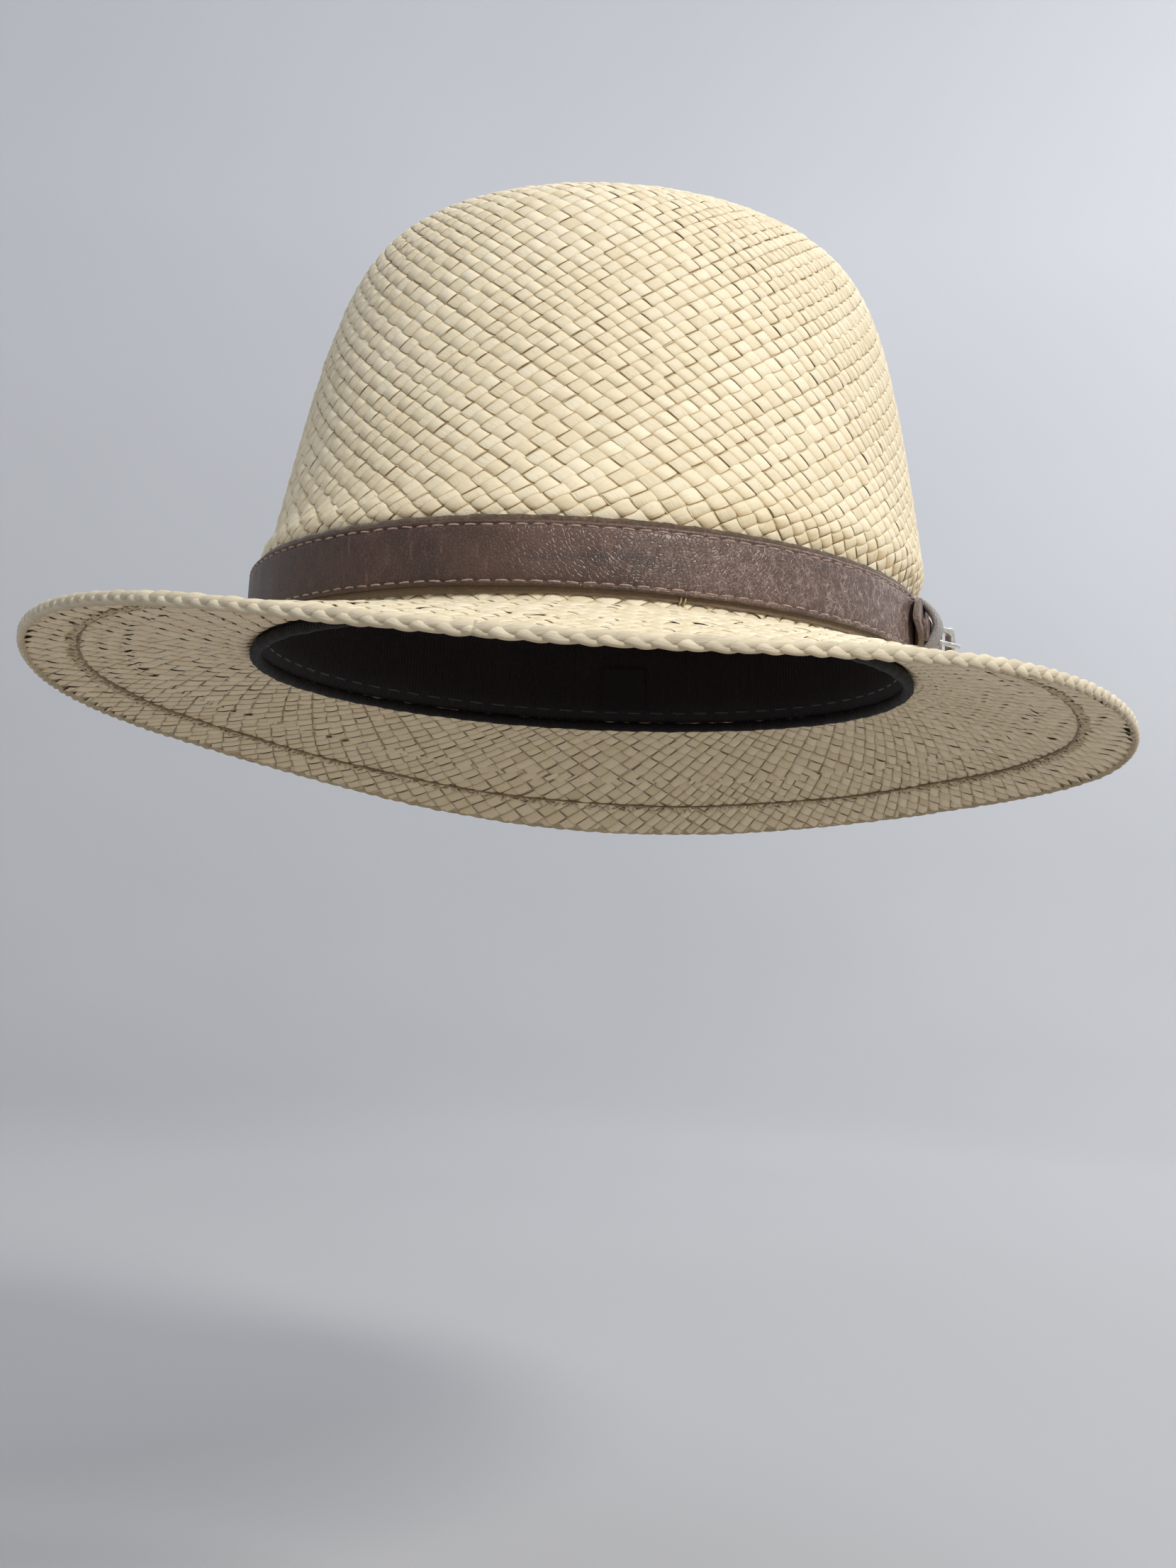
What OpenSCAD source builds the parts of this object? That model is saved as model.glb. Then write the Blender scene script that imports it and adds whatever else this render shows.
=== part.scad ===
// Woven straw hat with a round crown, a turned-down brim, a two-layer leather
// hat band with a small buckle, and a black sweatband on a covered reed.
// Origin: centre of the head opening at the level where crown and brim meet.
// +Z up through the crown, -Y is the front of the hat, +X carries the buckle.
// Names end in _h for height, _l for length, _t for thickness, _r for radius.

/* [Head opening and straw] */
// Half length of the straw at the band, front to back
straw_y = 103.4; // [96:0.1:112]
// Half width of the straw at the band, side to side
straw_x = 86.4; // [80:0.1:94]
// Thickness of the woven straw
straw_t = 1.4; // [1.0:0.1:2.0]

/* [Crown] */
// Height of the crown at the rounded shoulder, above the brim break
crown_h = 113.3; // [95:0.1:130]
// Extra rise of the gently domed top above the shoulder
crown_dome = 6; // [3:0.5:10]
// How much the crown wall tapers towards the top
crown_taper = 0.208; // [0.1:0.002:0.3]
// Lean of the crown above the band, towards +X
crown_lean = 2.8; // [0:0.1:4]
// Backward lean of the crown at the top
crown_back = 4.9; // [0:0.1:8]

/* [Brim] */
// Half length of the brim at its edge, front to back
rim_y = 164.5; // [150:0.5:175]
// Half width of the brim at its edge, side to side
rim_x = 144.6; // [130:0.5:155]
// Mean drop of the edge below the brim break
rim_drop = 17.4; // [8:0.1:20]
// How much higher the front edge is than the mean, and the back edge lower
rim_pitch = 10.3; // [0:0.1:12]
// How much the sides are raised against the front and the back
rim_saddle = 6.1; // [0:0.1:8]
// How much lower the edge is on the buckle side
rim_roll = 3.95; // [0:0.05:5]
// Small four-fold waviness of the edge
rim_wave = 2.0; // [0:0.1:3]
// Lift of the middle of the back edge
rim_back_lift = 4.7; // [0:0.1:6]
// Radius of the braided edge cord
cord_r = 1.75; // [1.4:0.05:2.2]

/* [Sweatband] */
// Height of the sweatband above the brim break
sweat_h = 32; // [26:0.5:34]
// Thickness of the sweatband
sweat_t = 1.0; // [0.8:0.1:1.4]
// Outer radius of the covered reed at its lower edge
reed_r = 1.5; // [1.3:0.05:1.7]
// Radius of the plastic core in the reed
reed_core_r = 0.8; // [0.6:0.05:0.9]

/* [Hat band] */
// Height of the band's backing strip
band_h = 17.4; // [15:0.1:20]
// How far the outer leather stops short of the backing's edges
band_margin = 1.4; // [1:0.1:2]
// Thickness of the outer leather
leather_t = 1.5; // [1.2:0.1:1.8]
// Thickness of the backing strip
lining_t = 0.8; // [0.6:0.1:1.0]
// Height of the narrow tongue that passes through the buckle
tongue_h = 5.8; // [5:0.1:6]

/* [Buckle] */
// Outer height of the buckle frame
frame_h = 9.2; // [9:0.1:9.6]
// Length of the buckle frame, from its bar to its far side
frame_l = 12; // [11:0.1:13]
// Thickness of the frame's metal
frame_t = 1.8; // [1.4:0.1:2.0]
// Radius of the bar that the frame and the prong turn on
bar_r = 0.75; // [0.6:0.05:0.8]
// Running clearance of the bar in the tab and the prong
bar_gap = 0.05; // [0.03:0.01:0.09]

/* [Hidden] */
$fn = 48;
straw_steps = 84;              // steps around the straw
band_steps = 144;              // steps around the band, one stitch to each
sweat_steps = 72;              // steps around the sweatband and reed
thread_color = [0.62, 0.47, 0.43];

band_z0 = 1.8;                 // lower edge of the backing
band_z1 = band_z0 + band_h;
band_mid = band_z0 + band_h / 2;
band_clear = 0.05;             // straight straw beyond each edge of the backing

// ---- Shared geometry ----
// Angles around the hat: 0 is the front, 90 is +X, 180 is the back.
// "out" is a distance outward from the straw's outer face at the band.

function smooth(x) = let (f = min(1, max(0, x))) f * f * (3 - 2 * f);
function mix(from, to, f) = from + (to - from) * f;

// Point on the oval around the straw
function straw_oval(out, angle) = [(straw_x + out) * sin(angle), -(straw_y + out) * cos(angle)];

// A ring is [half width, half length, height]
function straw_ring(out, z) = [straw_x + out, straw_y + out, z];
function on_ring(ring, angle) = [ring[0] * sin(angle), -ring[1] * cos(angle), ring[2]];

function quad(a, b, c, d) = [[a, b, c], [a, c, d]];

// Closed ring through a list of sections with equal numbers of points
module ring_solid(sections, flip = false, convexity = 6) {
  count = len(sections);
  size = len(sections[0]);
  faces = [for (i = [0:count - 1], k = [0:size - 1])
    let (next_i = (i + 1) % count, next_k = (k + 1) % size,
      a = i * size + k, b = i * size + next_k,
      c = next_i * size + next_k, d = next_i * size + k)
    each (flip ? quad(a, d, c, b) : quad(a, b, c, d))];
  polyhedron([for (section = sections) each section], faces, convexity = convexity);
}

// Frame at the middle of one step of the oval, with X along the step and Y inward
module at_step(out, step, steps, z) {
  start = straw_oval(out, step * 360 / steps);
  end = straw_oval(out, (step + 1) * 360 / steps);
  mid = (start + end) / 2;
  translate([mid[0], mid[1], z])
    rotate([0, 0, atan2(end[1] - start[1], end[0] - start[0])]) children();
}

// ---- Straw crown and brim ----
crown_z0 = band_z1 - 0.2;      // where the free crown starts
bulge = 1.9;                   // how far the crown swells out over the band
bulge_z = band_z1 + 1.2;       // where the swelling begins to show
lean_rise = 9;                 // height over which the lean sets in
shoulder_lean = 0.9;           // further lean towards +X at the shoulder
wall_curve = 0.077;            // quadratic term of the wall's taper
shoulder_power = 2.78;         // the two powers that round the shoulder
shoulder_root = 0.1157;

// Wall stations, as a fraction from 0 at the band to 1 at the shoulder
wall_us = [0.985, 0.955, 0.90, 0.82, 0.72, 0.60, 0.47, 0.34, 0.22, 0.12, 0.05];
cap_rings = 5;

function wall_u(z) = max(0, (z - crown_z0) / (crown_h - crown_z0));
function wall_z(u) = mix(crown_z0, crown_h, u);

// Crown wall as a fraction of its width at the band
function wall_scale(u) = (1 - crown_taper * u + wall_curve * u * u)
  * pow(1 - pow(u, shoulder_power), shoulder_root);
function crown_ring(scale, z) = [scale * (straw_x + bulge), scale * (straw_y + bulge), z];

// Sideways shift of the hat at a height
function lean(z) = let (ramp = smooth((z - band_z1 - band_clear) / lean_rise), u = wall_u(z))
  [crown_lean * ramp + shoulder_lean * u, crown_back * u * ramp, 0];

cap_scale = wall_scale(wall_us[0]);
cap_z = wall_z(wall_us[0]);

// Straw under the band and at the brim break: [out, height]
base_stations = [[0.5, bulge_z], [0, band_z1 + band_clear], [0, 8],
  [0, band_z0 - band_clear], [0.6, 1.0], [1.7, 0.3]];

// Rings that are level all round, from the top down to the brim break
level_rings = concat(
  [for (k = [1:cap_rings]) let (f = k / (cap_rings + 1))
    crown_ring(cap_scale * f, cap_z + crown_dome * (1 - f * f))],
  [for (u = wall_us) crown_ring(wall_scale(u), wall_z(u))],
  [for (station = base_stations) straw_ring(station[0], station[1])]);

brim_parts = 8;
brim_start = 3.6;              // where the brim starts, out from the straw
brim_power = 1.12;             // how the brim steepens towards its edge
edge_inset = 2 * cord_r + 0.03; // the sheet stops here, against the cord
rim_twist = 1.3;               // two-fold wave of the edge, turned by 45 degrees
rim_ripple = 0.5;              // four-fold wave of the edge, turned by 22.5 degrees
back_lift_power = 6;           // how narrow the lift at the back is

// Height of the brim's edge around the hat
function rim_z(angle) = -rim_drop + rim_pitch * cos(angle) - rim_saddle * cos(2 * angle)
  - rim_roll * sin(angle) - rim_wave * cos(4 * angle)
  - rim_twist * sin(2 * angle) - rim_ripple * sin(4 * angle)
  + rim_back_lift * pow(max(0, -cos(angle)), back_lift_power);

function brim_ring(k, angle) = let (f = k / brim_parts)
  [mix(straw_x + brim_start, rim_x - edge_inset, f),
   mix(straw_y + brim_start, rim_y - edge_inset, f),
   rim_z(angle) * pow(f, brim_power)];

level_count = len(level_rings);
ring_count = level_count + brim_parts + 1;

// Profile ring j at an angle, from the middle of the top to the brim's edge
function profile(j, angle) = j < level_count ? level_rings[j] : brim_ring(j - level_count, angle);

// Outward normal of the profile, the same for both half axes
function normal(j, angle) = let (above = profile(max(0, j - 1), angle),
    below = profile(min(ring_count - 1, j + 1), angle),
    run = below[0] - above[0], fall = below[2] - above[2], size = norm([run, fall]))
  [-fall, -fall, run] / size;

// Point of the straw, at a depth below its outer face
function straw_pt(j, angle, depth) = let (ring = profile(j, angle))
  on_ring(ring - depth * normal(j, angle), angle) + lean(ring[2]);

// Point number in the outer layer (0) or the inner layer (1), after the two top points
function straw_id(layer, j, i) = 2 + (layer * ring_count + j) * straw_steps + i % straw_steps;

module straw_body() color([0.90, 0.83, 0.66]) {
  top = [0, 0, cap_z + crown_dome] + lean(crown_h);
  edge = ring_count - 1;
  points = concat([top, top - [0, 0, straw_t]],
    [for (depth = [0, straw_t], j = [0:edge], i = [0:straw_steps - 1])
      straw_pt(j, i * 360 / straw_steps, depth)]);
  faces = concat(
    [for (i = [0:straw_steps - 1]) each
      [[0, straw_id(0, 0, i + 1), straw_id(0, 0, i)],
       [1, straw_id(1, 0, i), straw_id(1, 0, i + 1)]]],
    [for (j = [0:edge - 1], i = [0:straw_steps - 1]) each concat(
      quad(straw_id(0, j, i), straw_id(0, j, i + 1),
        straw_id(0, j + 1, i + 1), straw_id(0, j + 1, i)),
      quad(straw_id(1, j, i), straw_id(1, j + 1, i),
        straw_id(1, j + 1, i + 1), straw_id(1, j, i + 1)))],
    [for (i = [0:straw_steps - 1]) each
      quad(straw_id(0, edge, i), straw_id(0, edge, i + 1),
        straw_id(1, edge, i + 1), straw_id(1, edge, i))]);
  polyhedron(points, faces, convexity = 6);
}

// Braided cord that finishes the edge of the brim
module rim_braid() color([0.93, 0.87, 0.70]) {
  sides = 10;
  ring_solid([for (i = [0:straw_steps - 1]) let (angle = i * 360 / straw_steps)
    [for (k = [0:sides - 1]) let (turn = k * 360 / sides, inset = cord_r * (1 - cos(turn)))
      on_ring([rim_x - inset, rim_y - inset,
        rim_z(angle) - straw_t / 2 + cord_r * sin(turn)], angle)]], flip = true);
}

// ---- Sweatband and reed ----
sweat_out = -straw_t - 0.45;   // outer face of the sweatband, clear of the straw
sweat_in = sweat_out - sweat_t;
sweat_zs = [-0.2, 4, 10, band_z1 + band_clear, bulge_z, wall_z(0.05), wall_z(0.12), sweat_h];
reed_out = sweat_out - sweat_t / 2;
reed_z = -0.3 - reed_r;

// How far the crown wall comes inside the half axis at a height, as a negative shift
function wall_shift(half, z) = z < bulge_z + 0.1 ? 0
  : min(0, wall_scale(wall_u(z)) * (half + bulge) - half);
function sweat_half(half, z, out) = half + wall_shift(half, z) + out;

// Sweatband inside the head opening, following the inside of the straw
module sweatband() color([0.07, 0.07, 0.09]) {
  last = len(sweat_zs) - 1;
  // Each section goes up the outer face and down the inner one
  path = concat([for (z = sweat_zs) [sweat_out, z]],
    [for (k = [last:-1:0]) [sweat_in, sweat_zs[k]]]);
  ring_solid([for (i = [0:sweat_steps - 1]) [for (p = path)
    on_ring([sweat_half(straw_x, p[1], p[0]), sweat_half(straw_y, p[1], p[0]), p[1]],
      i * 360 / sweat_steps) + lean(p[1])]]);
}

// Short tape over the butt joint of the sweatband, inside at the back
module sweatband_join() color([0.10, 0.10, 0.12]) {
  tape = [14, 0.7, 13.8];
  gap = 0.42;                  // from the tape to the sweatband at the centre line
  translate([-tape[0] / 2, straw_y + sweat_in - gap - tape[1], 2.2]) cube(tape);
}

// Ring around the reed's centre line. Section points are [radius, turn].
module reed_ring(section, convexity = 6)
  ring_solid([for (i = [0:sweat_steps - 1]) [for (p = section)
    on_ring(straw_ring(reed_out + p[0] * cos(p[1]), reed_z + p[0] * sin(p[1])),
      i * 360 / sweat_steps)]], flip = true, convexity = convexity);

// Fabric tube around the reed: a wrap with a narrow slit at the top
module reed_tape() color([0.05, 0.05, 0.06]) {
  last = 8;
  turns = [for (k = [0:last]) 100 + k * 340 / last];
  reed_ring(concat([for (k = [0:last]) [reed_r, turns[k]]],
    [for (k = [last:-1:0]) [reed_core_r + 0.25, turns[k]]]), convexity = 8);
}

module reed_core() color([0.85, 0.86, 0.88]) {
  sides = 10;
  reed_ring([for (k = [0:sides - 1]) [reed_core_r, k * 360 / sides]]);
}

// Stitches that hold the sweatband to the straw, seen inside the sweatband
module sweatband_stitches() color([0.12, 0.12, 0.14]) {
  stitch = [2.6, 0.4, 0.5];
  for (i = [0:sweat_steps - 1])
    at_step(sweat_in, i, sweat_steps, 1.6) translate([-stitch[0] / 2, 0.03, 0]) cube(stitch);
}

// ---- Hat band ----
band_gap = 0.15;                       // gap from straw to backing
lining_out = band_gap + lining_t;      // outer face of the backing
leather_in = lining_out + 0.05;        // inner face of the outer leather
leather_out = leather_in + leather_t;  // outer face of the outer leather
face_x = straw_x + leather_out;        // outer face of the leather at the side
strap_start = 35;                      // step where the outer leather starts
strap_end = 40;                        // step where its full width ends, behind the buckle

tongue_z = band_mid - 0.9;
tongue_t = 1.4;
tongue_ys = [for (k = [0:32]) 27.5 - k * 1.5];

bar_x = face_x + 1.8;
bar_y = -8;                            // place of the bar along the band
bore_r = bar_r + bar_gap;              // bore of the tab and the prong

// Outer face of the tongue, measured out from the outer face of the leather:
// it rises by 5.7 from y = 14 forward and dips by 0.7 from y = -9 forward
function tongue_lift(y) = 5.7 * smooth((14 - y) / 19) - 0.7 * smooth((-9 - y) / 7);
function tongue_pt(y, depth) =
  straw_oval(leather_out + tongue_lift(y) - depth, 90 + asin(y / (straw_y + leather_out)));

function band_loop(out) = [for (i = [0:band_steps - 1]) straw_oval(out, i * 360 / band_steps)];

// Backing strip of the hat band, a closed loop around the crown
module band_lining() color([0.30, 0.22, 0.16])
  translate([0, 0, band_z0]) linear_extrude(height = band_h) difference() {
    polygon(band_loop(lining_out));
    polygon(band_loop(band_gap));
  }

// Outer leather. It runs from the buckle round the front, the -X side and
// the back, then rises through the buckle as a narrow tongue.
module band_strap() color([0.33, 0.25, 0.23]) {
  last = band_steps - (strap_end - strap_start);
  angles = [for (k = [0:last]) (strap_end + k) % band_steps * 360 / band_steps];
  slot_h = 2.2;
  difference() {
    union() {
      translate([0, 0, band_z0 + band_margin])
        linear_extrude(height = band_h - 2 * band_margin) polygon(concat(
          [for (angle = angles) straw_oval(leather_out, angle)],
          [for (k = [last:-1:0]) straw_oval(leather_in, angles[k])]));
      translate([0, 0, tongue_z - tongue_h / 2])
        linear_extrude(height = tongue_h) polygon(concat(
          [for (y = tongue_ys) tongue_pt(y, 0)],
          [for (k = [len(tongue_ys) - 1:-1:0]) tongue_pt(tongue_ys[k], tongue_t)]));
    }
    // slot for the prong
    translate([face_x + 1.5, bar_y - 3.5, tongue_z - slot_h / 2]) cube([9, 10.7, slot_h]);
    // spare hole nearer the end of the tongue
    translate([face_x + 0.5, -17.5, tongue_z]) rotate([0, 90, 0]) cylinder(h = 6, r = 0.8);
  }
}

// Stitches along one edge of the outer leather, one to each step
module band_row(z) color(thread_color) {
  stitch = [2.9, 0.4, 0.6];
  for (k = [0:band_steps - 1]) if (k < strap_start - 1 || k > strap_end)
    at_step(leather_out, k, band_steps, z - stitch[2] / 2)
      translate([-stitch[0] / 2, -0.42, 0]) cube(stitch);
}
row_inset = band_margin + 1.1;         // from the backing's edge to the stitches
module band_top_stitches() band_row(band_z1 - row_inset);
module band_bottom_stitches() band_row(band_z0 + row_inset);

// Small tacking stitches under the band's lower edge
module band_tacks() color([0.72, 0.62, 0.42]) for (angle = [22, 118, 205, 300]) {
  place = straw_oval(band_gap + 0.1, angle);
  translate([place[0], place[1], 0.95]) rotate([0, 0, angle - 90])
    translate([0.7, -0.4, 0]) cube([0.6, 0.8, 0.75]);
}

// ---- Buckle, its tab and its keeper ----
tab_x = face_x + 0.1;                  // inner face of the tab and the keeper
tab_t = 1.3;
tab_h = 12.6;

// Leather tab that carries the buckle. It lies on the band with a rounded
// free end towards the front, and wraps the bar at its other end.
module buckle_chape() color([0.36, 0.29, 0.27]) {
  neck_h = tongue_h - 0.2;
  neck_z0 = tongue_z - neck_h / 2;
  neck_z1 = tongue_z + neck_h / 2;
  shoulder_y = -10.6;                  // where the full height ends
  neck_y = -9.4;
  round_y = -22.5;                     // centre of the rounded end
  round_l = 4.5;
  notch_h = 2.4;                       // room for the prong's eye
  difference() {
    union() {
      translate([bar_x, bar_y, neck_z0]) cylinder(h = neck_h, r = bore_r + 0.8);
      translate([tab_x, neck_y - 0.1, neck_z0]) cube([tab_t, 2.0, neck_h]);
      translate([tab_x, 0, 0]) rotate([90, 0, 90]) linear_extrude(height = tab_t)
        polygon(concat(
          [[shoulder_y, band_mid - tab_h / 2], [shoulder_y, neck_z0], [neck_y, neck_z0],
           [neck_y, neck_z1], [shoulder_y, neck_z1], [shoulder_y, band_mid + tab_h / 2]],
          [for (k = [0:12]) let (turn = 90 + k * 15)
            [round_y + round_l * cos(turn), band_mid + tab_h / 2 * sin(turn)]]));
    }
    translate([bar_x, bar_y, neck_z0 - 1]) cylinder(h = neck_h + 2, r = bore_r);
    translate([bar_x - 1, bar_y - 1, tongue_z - notch_h / 2]) cube([6, 6, notch_h]);
    translate([bar_x, bar_y, tongue_z - notch_h / 2]) cylinder(h = notch_h, r = bore_r + 0.95);
  }
}

// Stitches across the tab, between the keeper and the buckle
module chape_stitches() color(thread_color) {
  stitch = [0.3, 0.4, 1.4];
  pitch = 2.4;
  for (k = [-2:2])
    translate([tab_x + tab_t + 0.02, -11.5, band_mid + k * pitch - stitch[2] / 2]) cube(stitch);
}

// Outline with two chamfered outer corners. The x values are from the tab's
// inner face, the half heights from the middle of the band.
module keeper_outline(inner_x, corner_x, outer_x, half_h, outer_half_h)
  polygon([for (p = [[inner_x, -half_h], [corner_x, -half_h], [outer_x, -outer_half_h],
      [outer_x, outer_half_h], [corner_x, half_h], [inner_x, half_h]])
    [tab_x + p[0], band_mid + p[1]]]);

// Leather loop over the tab and the tongue's end
module keeper_loop() color([0.45, 0.42, 0.42])
  translate([0, -12, 0]) rotate([90, 0, 0]) linear_extrude(height = 8) difference() {
    keeper_outline(0, 4.9, 6.3, 7.8, 6.2);
    keeper_outline(-1, 4.2, 5.0, 6.5, 5.6);
  }

// Frame of the buckle: origin on the bar, +Y towards the buckle's far side,
// turned outward by its tilt at rest
tilt = 35;
module at_bar() translate([bar_x, bar_y, tongue_z]) rotate([0, 0, -tilt]) children();

// Metal frame, turned out about the bar. Its two arms carry the bar.
module buckle_frame() color([0.72, 0.72, 0.74]) at_bar() {
  arm_t = 1.4;
  gap_h = frame_h - 2 * arm_t;
  far_l = 2;                           // width of the far side, and of its thicker pad
  cut = 4;                             // reach of the opening's cutter behind the bar
  difference() {
    union() {
      translate([-frame_t / 2, 0, -frame_h / 2]) cube([frame_t, frame_l, frame_h]);
      translate([-frame_t / 2 - 0.2, frame_l - far_l - 0.2, -frame_h / 2 + 0.4])
        cube([frame_t + 0.4, far_l, frame_h - 0.8]);
      translate([0, 0, -frame_h / 2]) cylinder(h = frame_h, r = bar_r + 0.75);
    }
    translate([-cut, -cut, -gap_h / 2]) cube([2 * cut, cut + frame_l - far_l, gap_h]);
    translate([0, 0, -frame_h]) cylinder(h = 2 * frame_h, r = bar_r);
  }
}

module buckle_bar() color([0.66, 0.66, 0.69])
  translate([bar_x, bar_y, tongue_z - frame_h / 2 + 0.05])
    cylinder(h = frame_h - 0.1, r = bar_r - 0.01);

// Prong: an eye around the bar and a finger that rests on the frame's far side
module buckle_prong() color([0.75, 0.75, 0.77]) at_bar() {
  eye_h = 1.8;
  finger_h = 1.4;
  face = frame_t / 2;                  // outer face of the frame
  difference() {
    union() {
      translate([0, 0, -eye_h / 2]) cylinder(h = eye_h, r = bore_r + 0.65);
      translate([0, 0, -finger_h / 2]) linear_extrude(height = finger_h)
        polygon([[0.2, 0.9], [1.5, 0.6], [face + 1.5, frame_l - 3],
          [face + 1.5, frame_l + 0.6], [face + 0.9, frame_l + 1.0],
          [face + 0.25, frame_l + 0.5], [face + 0.25, frame_l - 3]]);
    }
    translate([0, 0, -2]) cylinder(h = 4, r = bore_r);
  }
}

straw_body();
rim_braid();
sweatband();
sweatband_join();
reed_tape();
reed_core();
sweatband_stitches();
band_lining();
band_strap();
band_top_stitches();
band_bottom_stitches();
band_tacks();
buckle_chape();
chape_stitches();
keeper_loop();
buckle_frame();
buckle_bar();
buckle_prong();
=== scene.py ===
"""A woven straw hat with a curled brim, a buckled leather band and a cloth sweatband.

Lengths are millimetres until new_mesh scales them to metres. The hat stands upright (+Z up),
its front faces -Y and the buckle sits on the +X side. z = 0 is where the brim meets the head
opening. Angles round the hat start at the front and turn towards +X.
"""
import math
from collections import namedtuple

import bpy
import numpy as np
from mathutils import Matrix, Vector


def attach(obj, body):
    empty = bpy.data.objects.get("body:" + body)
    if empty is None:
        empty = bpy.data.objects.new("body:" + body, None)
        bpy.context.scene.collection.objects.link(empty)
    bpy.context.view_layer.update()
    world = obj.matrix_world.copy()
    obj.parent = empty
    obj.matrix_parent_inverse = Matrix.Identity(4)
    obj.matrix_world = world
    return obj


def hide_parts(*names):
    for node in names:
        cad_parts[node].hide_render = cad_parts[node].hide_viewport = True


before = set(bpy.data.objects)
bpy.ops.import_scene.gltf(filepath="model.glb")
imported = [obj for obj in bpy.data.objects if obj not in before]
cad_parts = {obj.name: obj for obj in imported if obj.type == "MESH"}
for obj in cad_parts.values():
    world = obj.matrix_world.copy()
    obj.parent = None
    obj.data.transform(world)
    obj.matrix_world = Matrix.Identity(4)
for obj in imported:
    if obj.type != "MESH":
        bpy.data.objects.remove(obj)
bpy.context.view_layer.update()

RNG = np.random.default_rng(7)
MM = 0.001
TAU = 2 * math.pi
UP = np.array([0, 0, 1.0])

# ---------------------------------------------------------------- driving sizes
HALF_LENGTH, HALF_WIDTH = 103.4, 86.4       # head oval, along Y and along X
CROWN_HEIGHT, DOME_RISE = 113.3, 6.0
CROWN_TAPER, CROWN_BULGE = 0.208, 1.9
LEAN_OUT, LEAN_BACK = 2.8, 4.9              # lean of the crown towards +X and +Y
CAP_LEVEL = 0.985                           # height fraction where the wall turns into the top

RIM_HALF_LENGTH, RIM_HALF_WIDTH = 164.5, 144.6
CORD_RADIUS = 1.75
BREAK_RADIUS = 3.6                          # rounded break between crown and brim
BRIM_POWER = 1.12                           # how the brim's drop grows outwards

BAND_Z0, BAND_HEIGHT = 1.8, 17.4
BAND_Z1 = BAND_Z0 + BAND_HEIGHT
BAND_MID_Z = BAND_Z0 + BAND_HEIGHT / 2
STRAP_MARGIN = 1.4                          # backing seen above and below the strap
BACKING_IN = 0.15                           # distances out from the head oval
BACKING_OUT = BACKING_IN + 0.8
STRAP_IN = BACKING_OUT + 0.05
STRAP_OUT = STRAP_IN + 1.5
STRAP_FACE_X = HALF_WIDTH + STRAP_OUT

TONGUE_Z = BAND_MID_Z - 0.9
BAR = (STRAP_FACE_X + 1.8, -8.0, TONGUE_Z)  # middle of the buckle's bar
BUCKLE_TILT = math.radians(35)

WALL_FOOT_Z = BAND_Z1 - 0.2
LEAN_START_Z = BAND_Z1 + 0.05


# ---------------------------------------------------------------- small helpers
def ease(x):
    """Smooth step from 0 to 1"""
    x = np.clip(x, 0, 1)
    return x * x * (3 - 2 * x)


def pack(*arrays):
    """Broadcast the arrays and stack them as the last axis"""
    return np.stack(np.broadcast_arrays(*arrays), -1)


def unit(vectors):
    return vectors / np.maximum(np.linalg.norm(vectors, axis=-1, keepdims=True), 1e-9)


def circle(count):
    angles = np.linspace(0, TAU, count, endpoint=False)
    return np.cos(angles), np.sin(angles)


def signed_power(values, power):
    return np.sign(values) * np.abs(values) ** power


def ellipse(half_width, half_length, angle, z):
    return pack(half_width * np.sin(angle), -half_length * np.cos(angle), z)


def at_band(out, angle, z):
    """A point at distance out from the head oval"""
    return ellipse(HALF_WIDTH + out, HALF_LENGTH + out, angle, z)


# ---------------------------------------------------------------- shape of the hat
# Height of the rim round the hat: (harmonic, cosine part, sine part)
RIM_MEAN_Z = -17.4
RIM_WAVES = [(1, 10.3, -3.95), (2, -6.1, -1.3), (4, -2.0, -0.5)]
RIM_BACK_KICK = 4.7

# Stretch of the weave along each meridian
CROWN_STRETCH = ([0, 20, 60, 100, 113, 119], [1.45, 1.42, 1.33, 1.22, 1.12, 1.0])   # z, stretch
BRIM_STRETCH = ([0, 8, 25, 60], [1.35, 1.2, 1.02, 0.95])                            # out, stretch


def wall_scale(level):
    """Size of the crown's section at height fraction level, relative to its foot"""
    taper = 1 - CROWN_TAPER * level + 0.077 * level * level
    return taper * np.maximum(0, 1 - np.maximum(level, 0) ** 2.78) ** 0.1157


def crown_level(z):
    return (z - WALL_FOOT_Z) / (CROWN_HEIGHT - WALL_FOOT_Z)


def leaned(points):
    """Shift points sideways as the crown leans with height"""
    z = points[..., 2]
    start = ease((z - LEAN_START_Z) / 9)
    level = np.maximum(0, crown_level(z))
    return points + pack(LEAN_OUT * start + 0.9 * level, LEAN_BACK * level * start, 0)


def rim_z(angle):
    waves = sum(c * np.cos(n * angle) + s * np.sin(n * angle) for n, c, s in RIM_WAVES)
    return RIM_MEAN_Z + waves + RIM_BACK_KICK * np.maximum(0, -np.cos(angle)) ** 6


# Angle of the head oval against even arc length
OVAL_ANGLES = np.linspace(0, TAU, 4001)
OVAL_LENGTHS = np.concatenate([[0], np.cumsum(np.hypot(
    np.diff(HALF_WIDTH * np.sin(OVAL_ANGLES)), np.diff(HALF_LENGTH * np.cos(OVAL_ANGLES))))])
OVAL_PHASES = OVAL_LENGTHS / OVAL_LENGTHS[-1] * TAU


def oval_angle(phi):
    return np.interp(np.mod(phi, TAU), OVAL_PHASES, OVAL_ANGLES)


def weave_length(radii, steps, stretch):
    """Length along a meridian in radians of turn, so that the weave's cells stay square"""
    return np.concatenate([[0], np.cumsum(stretch * steps / ((radii[1:] + radii[:-1]) / 2))])


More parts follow.
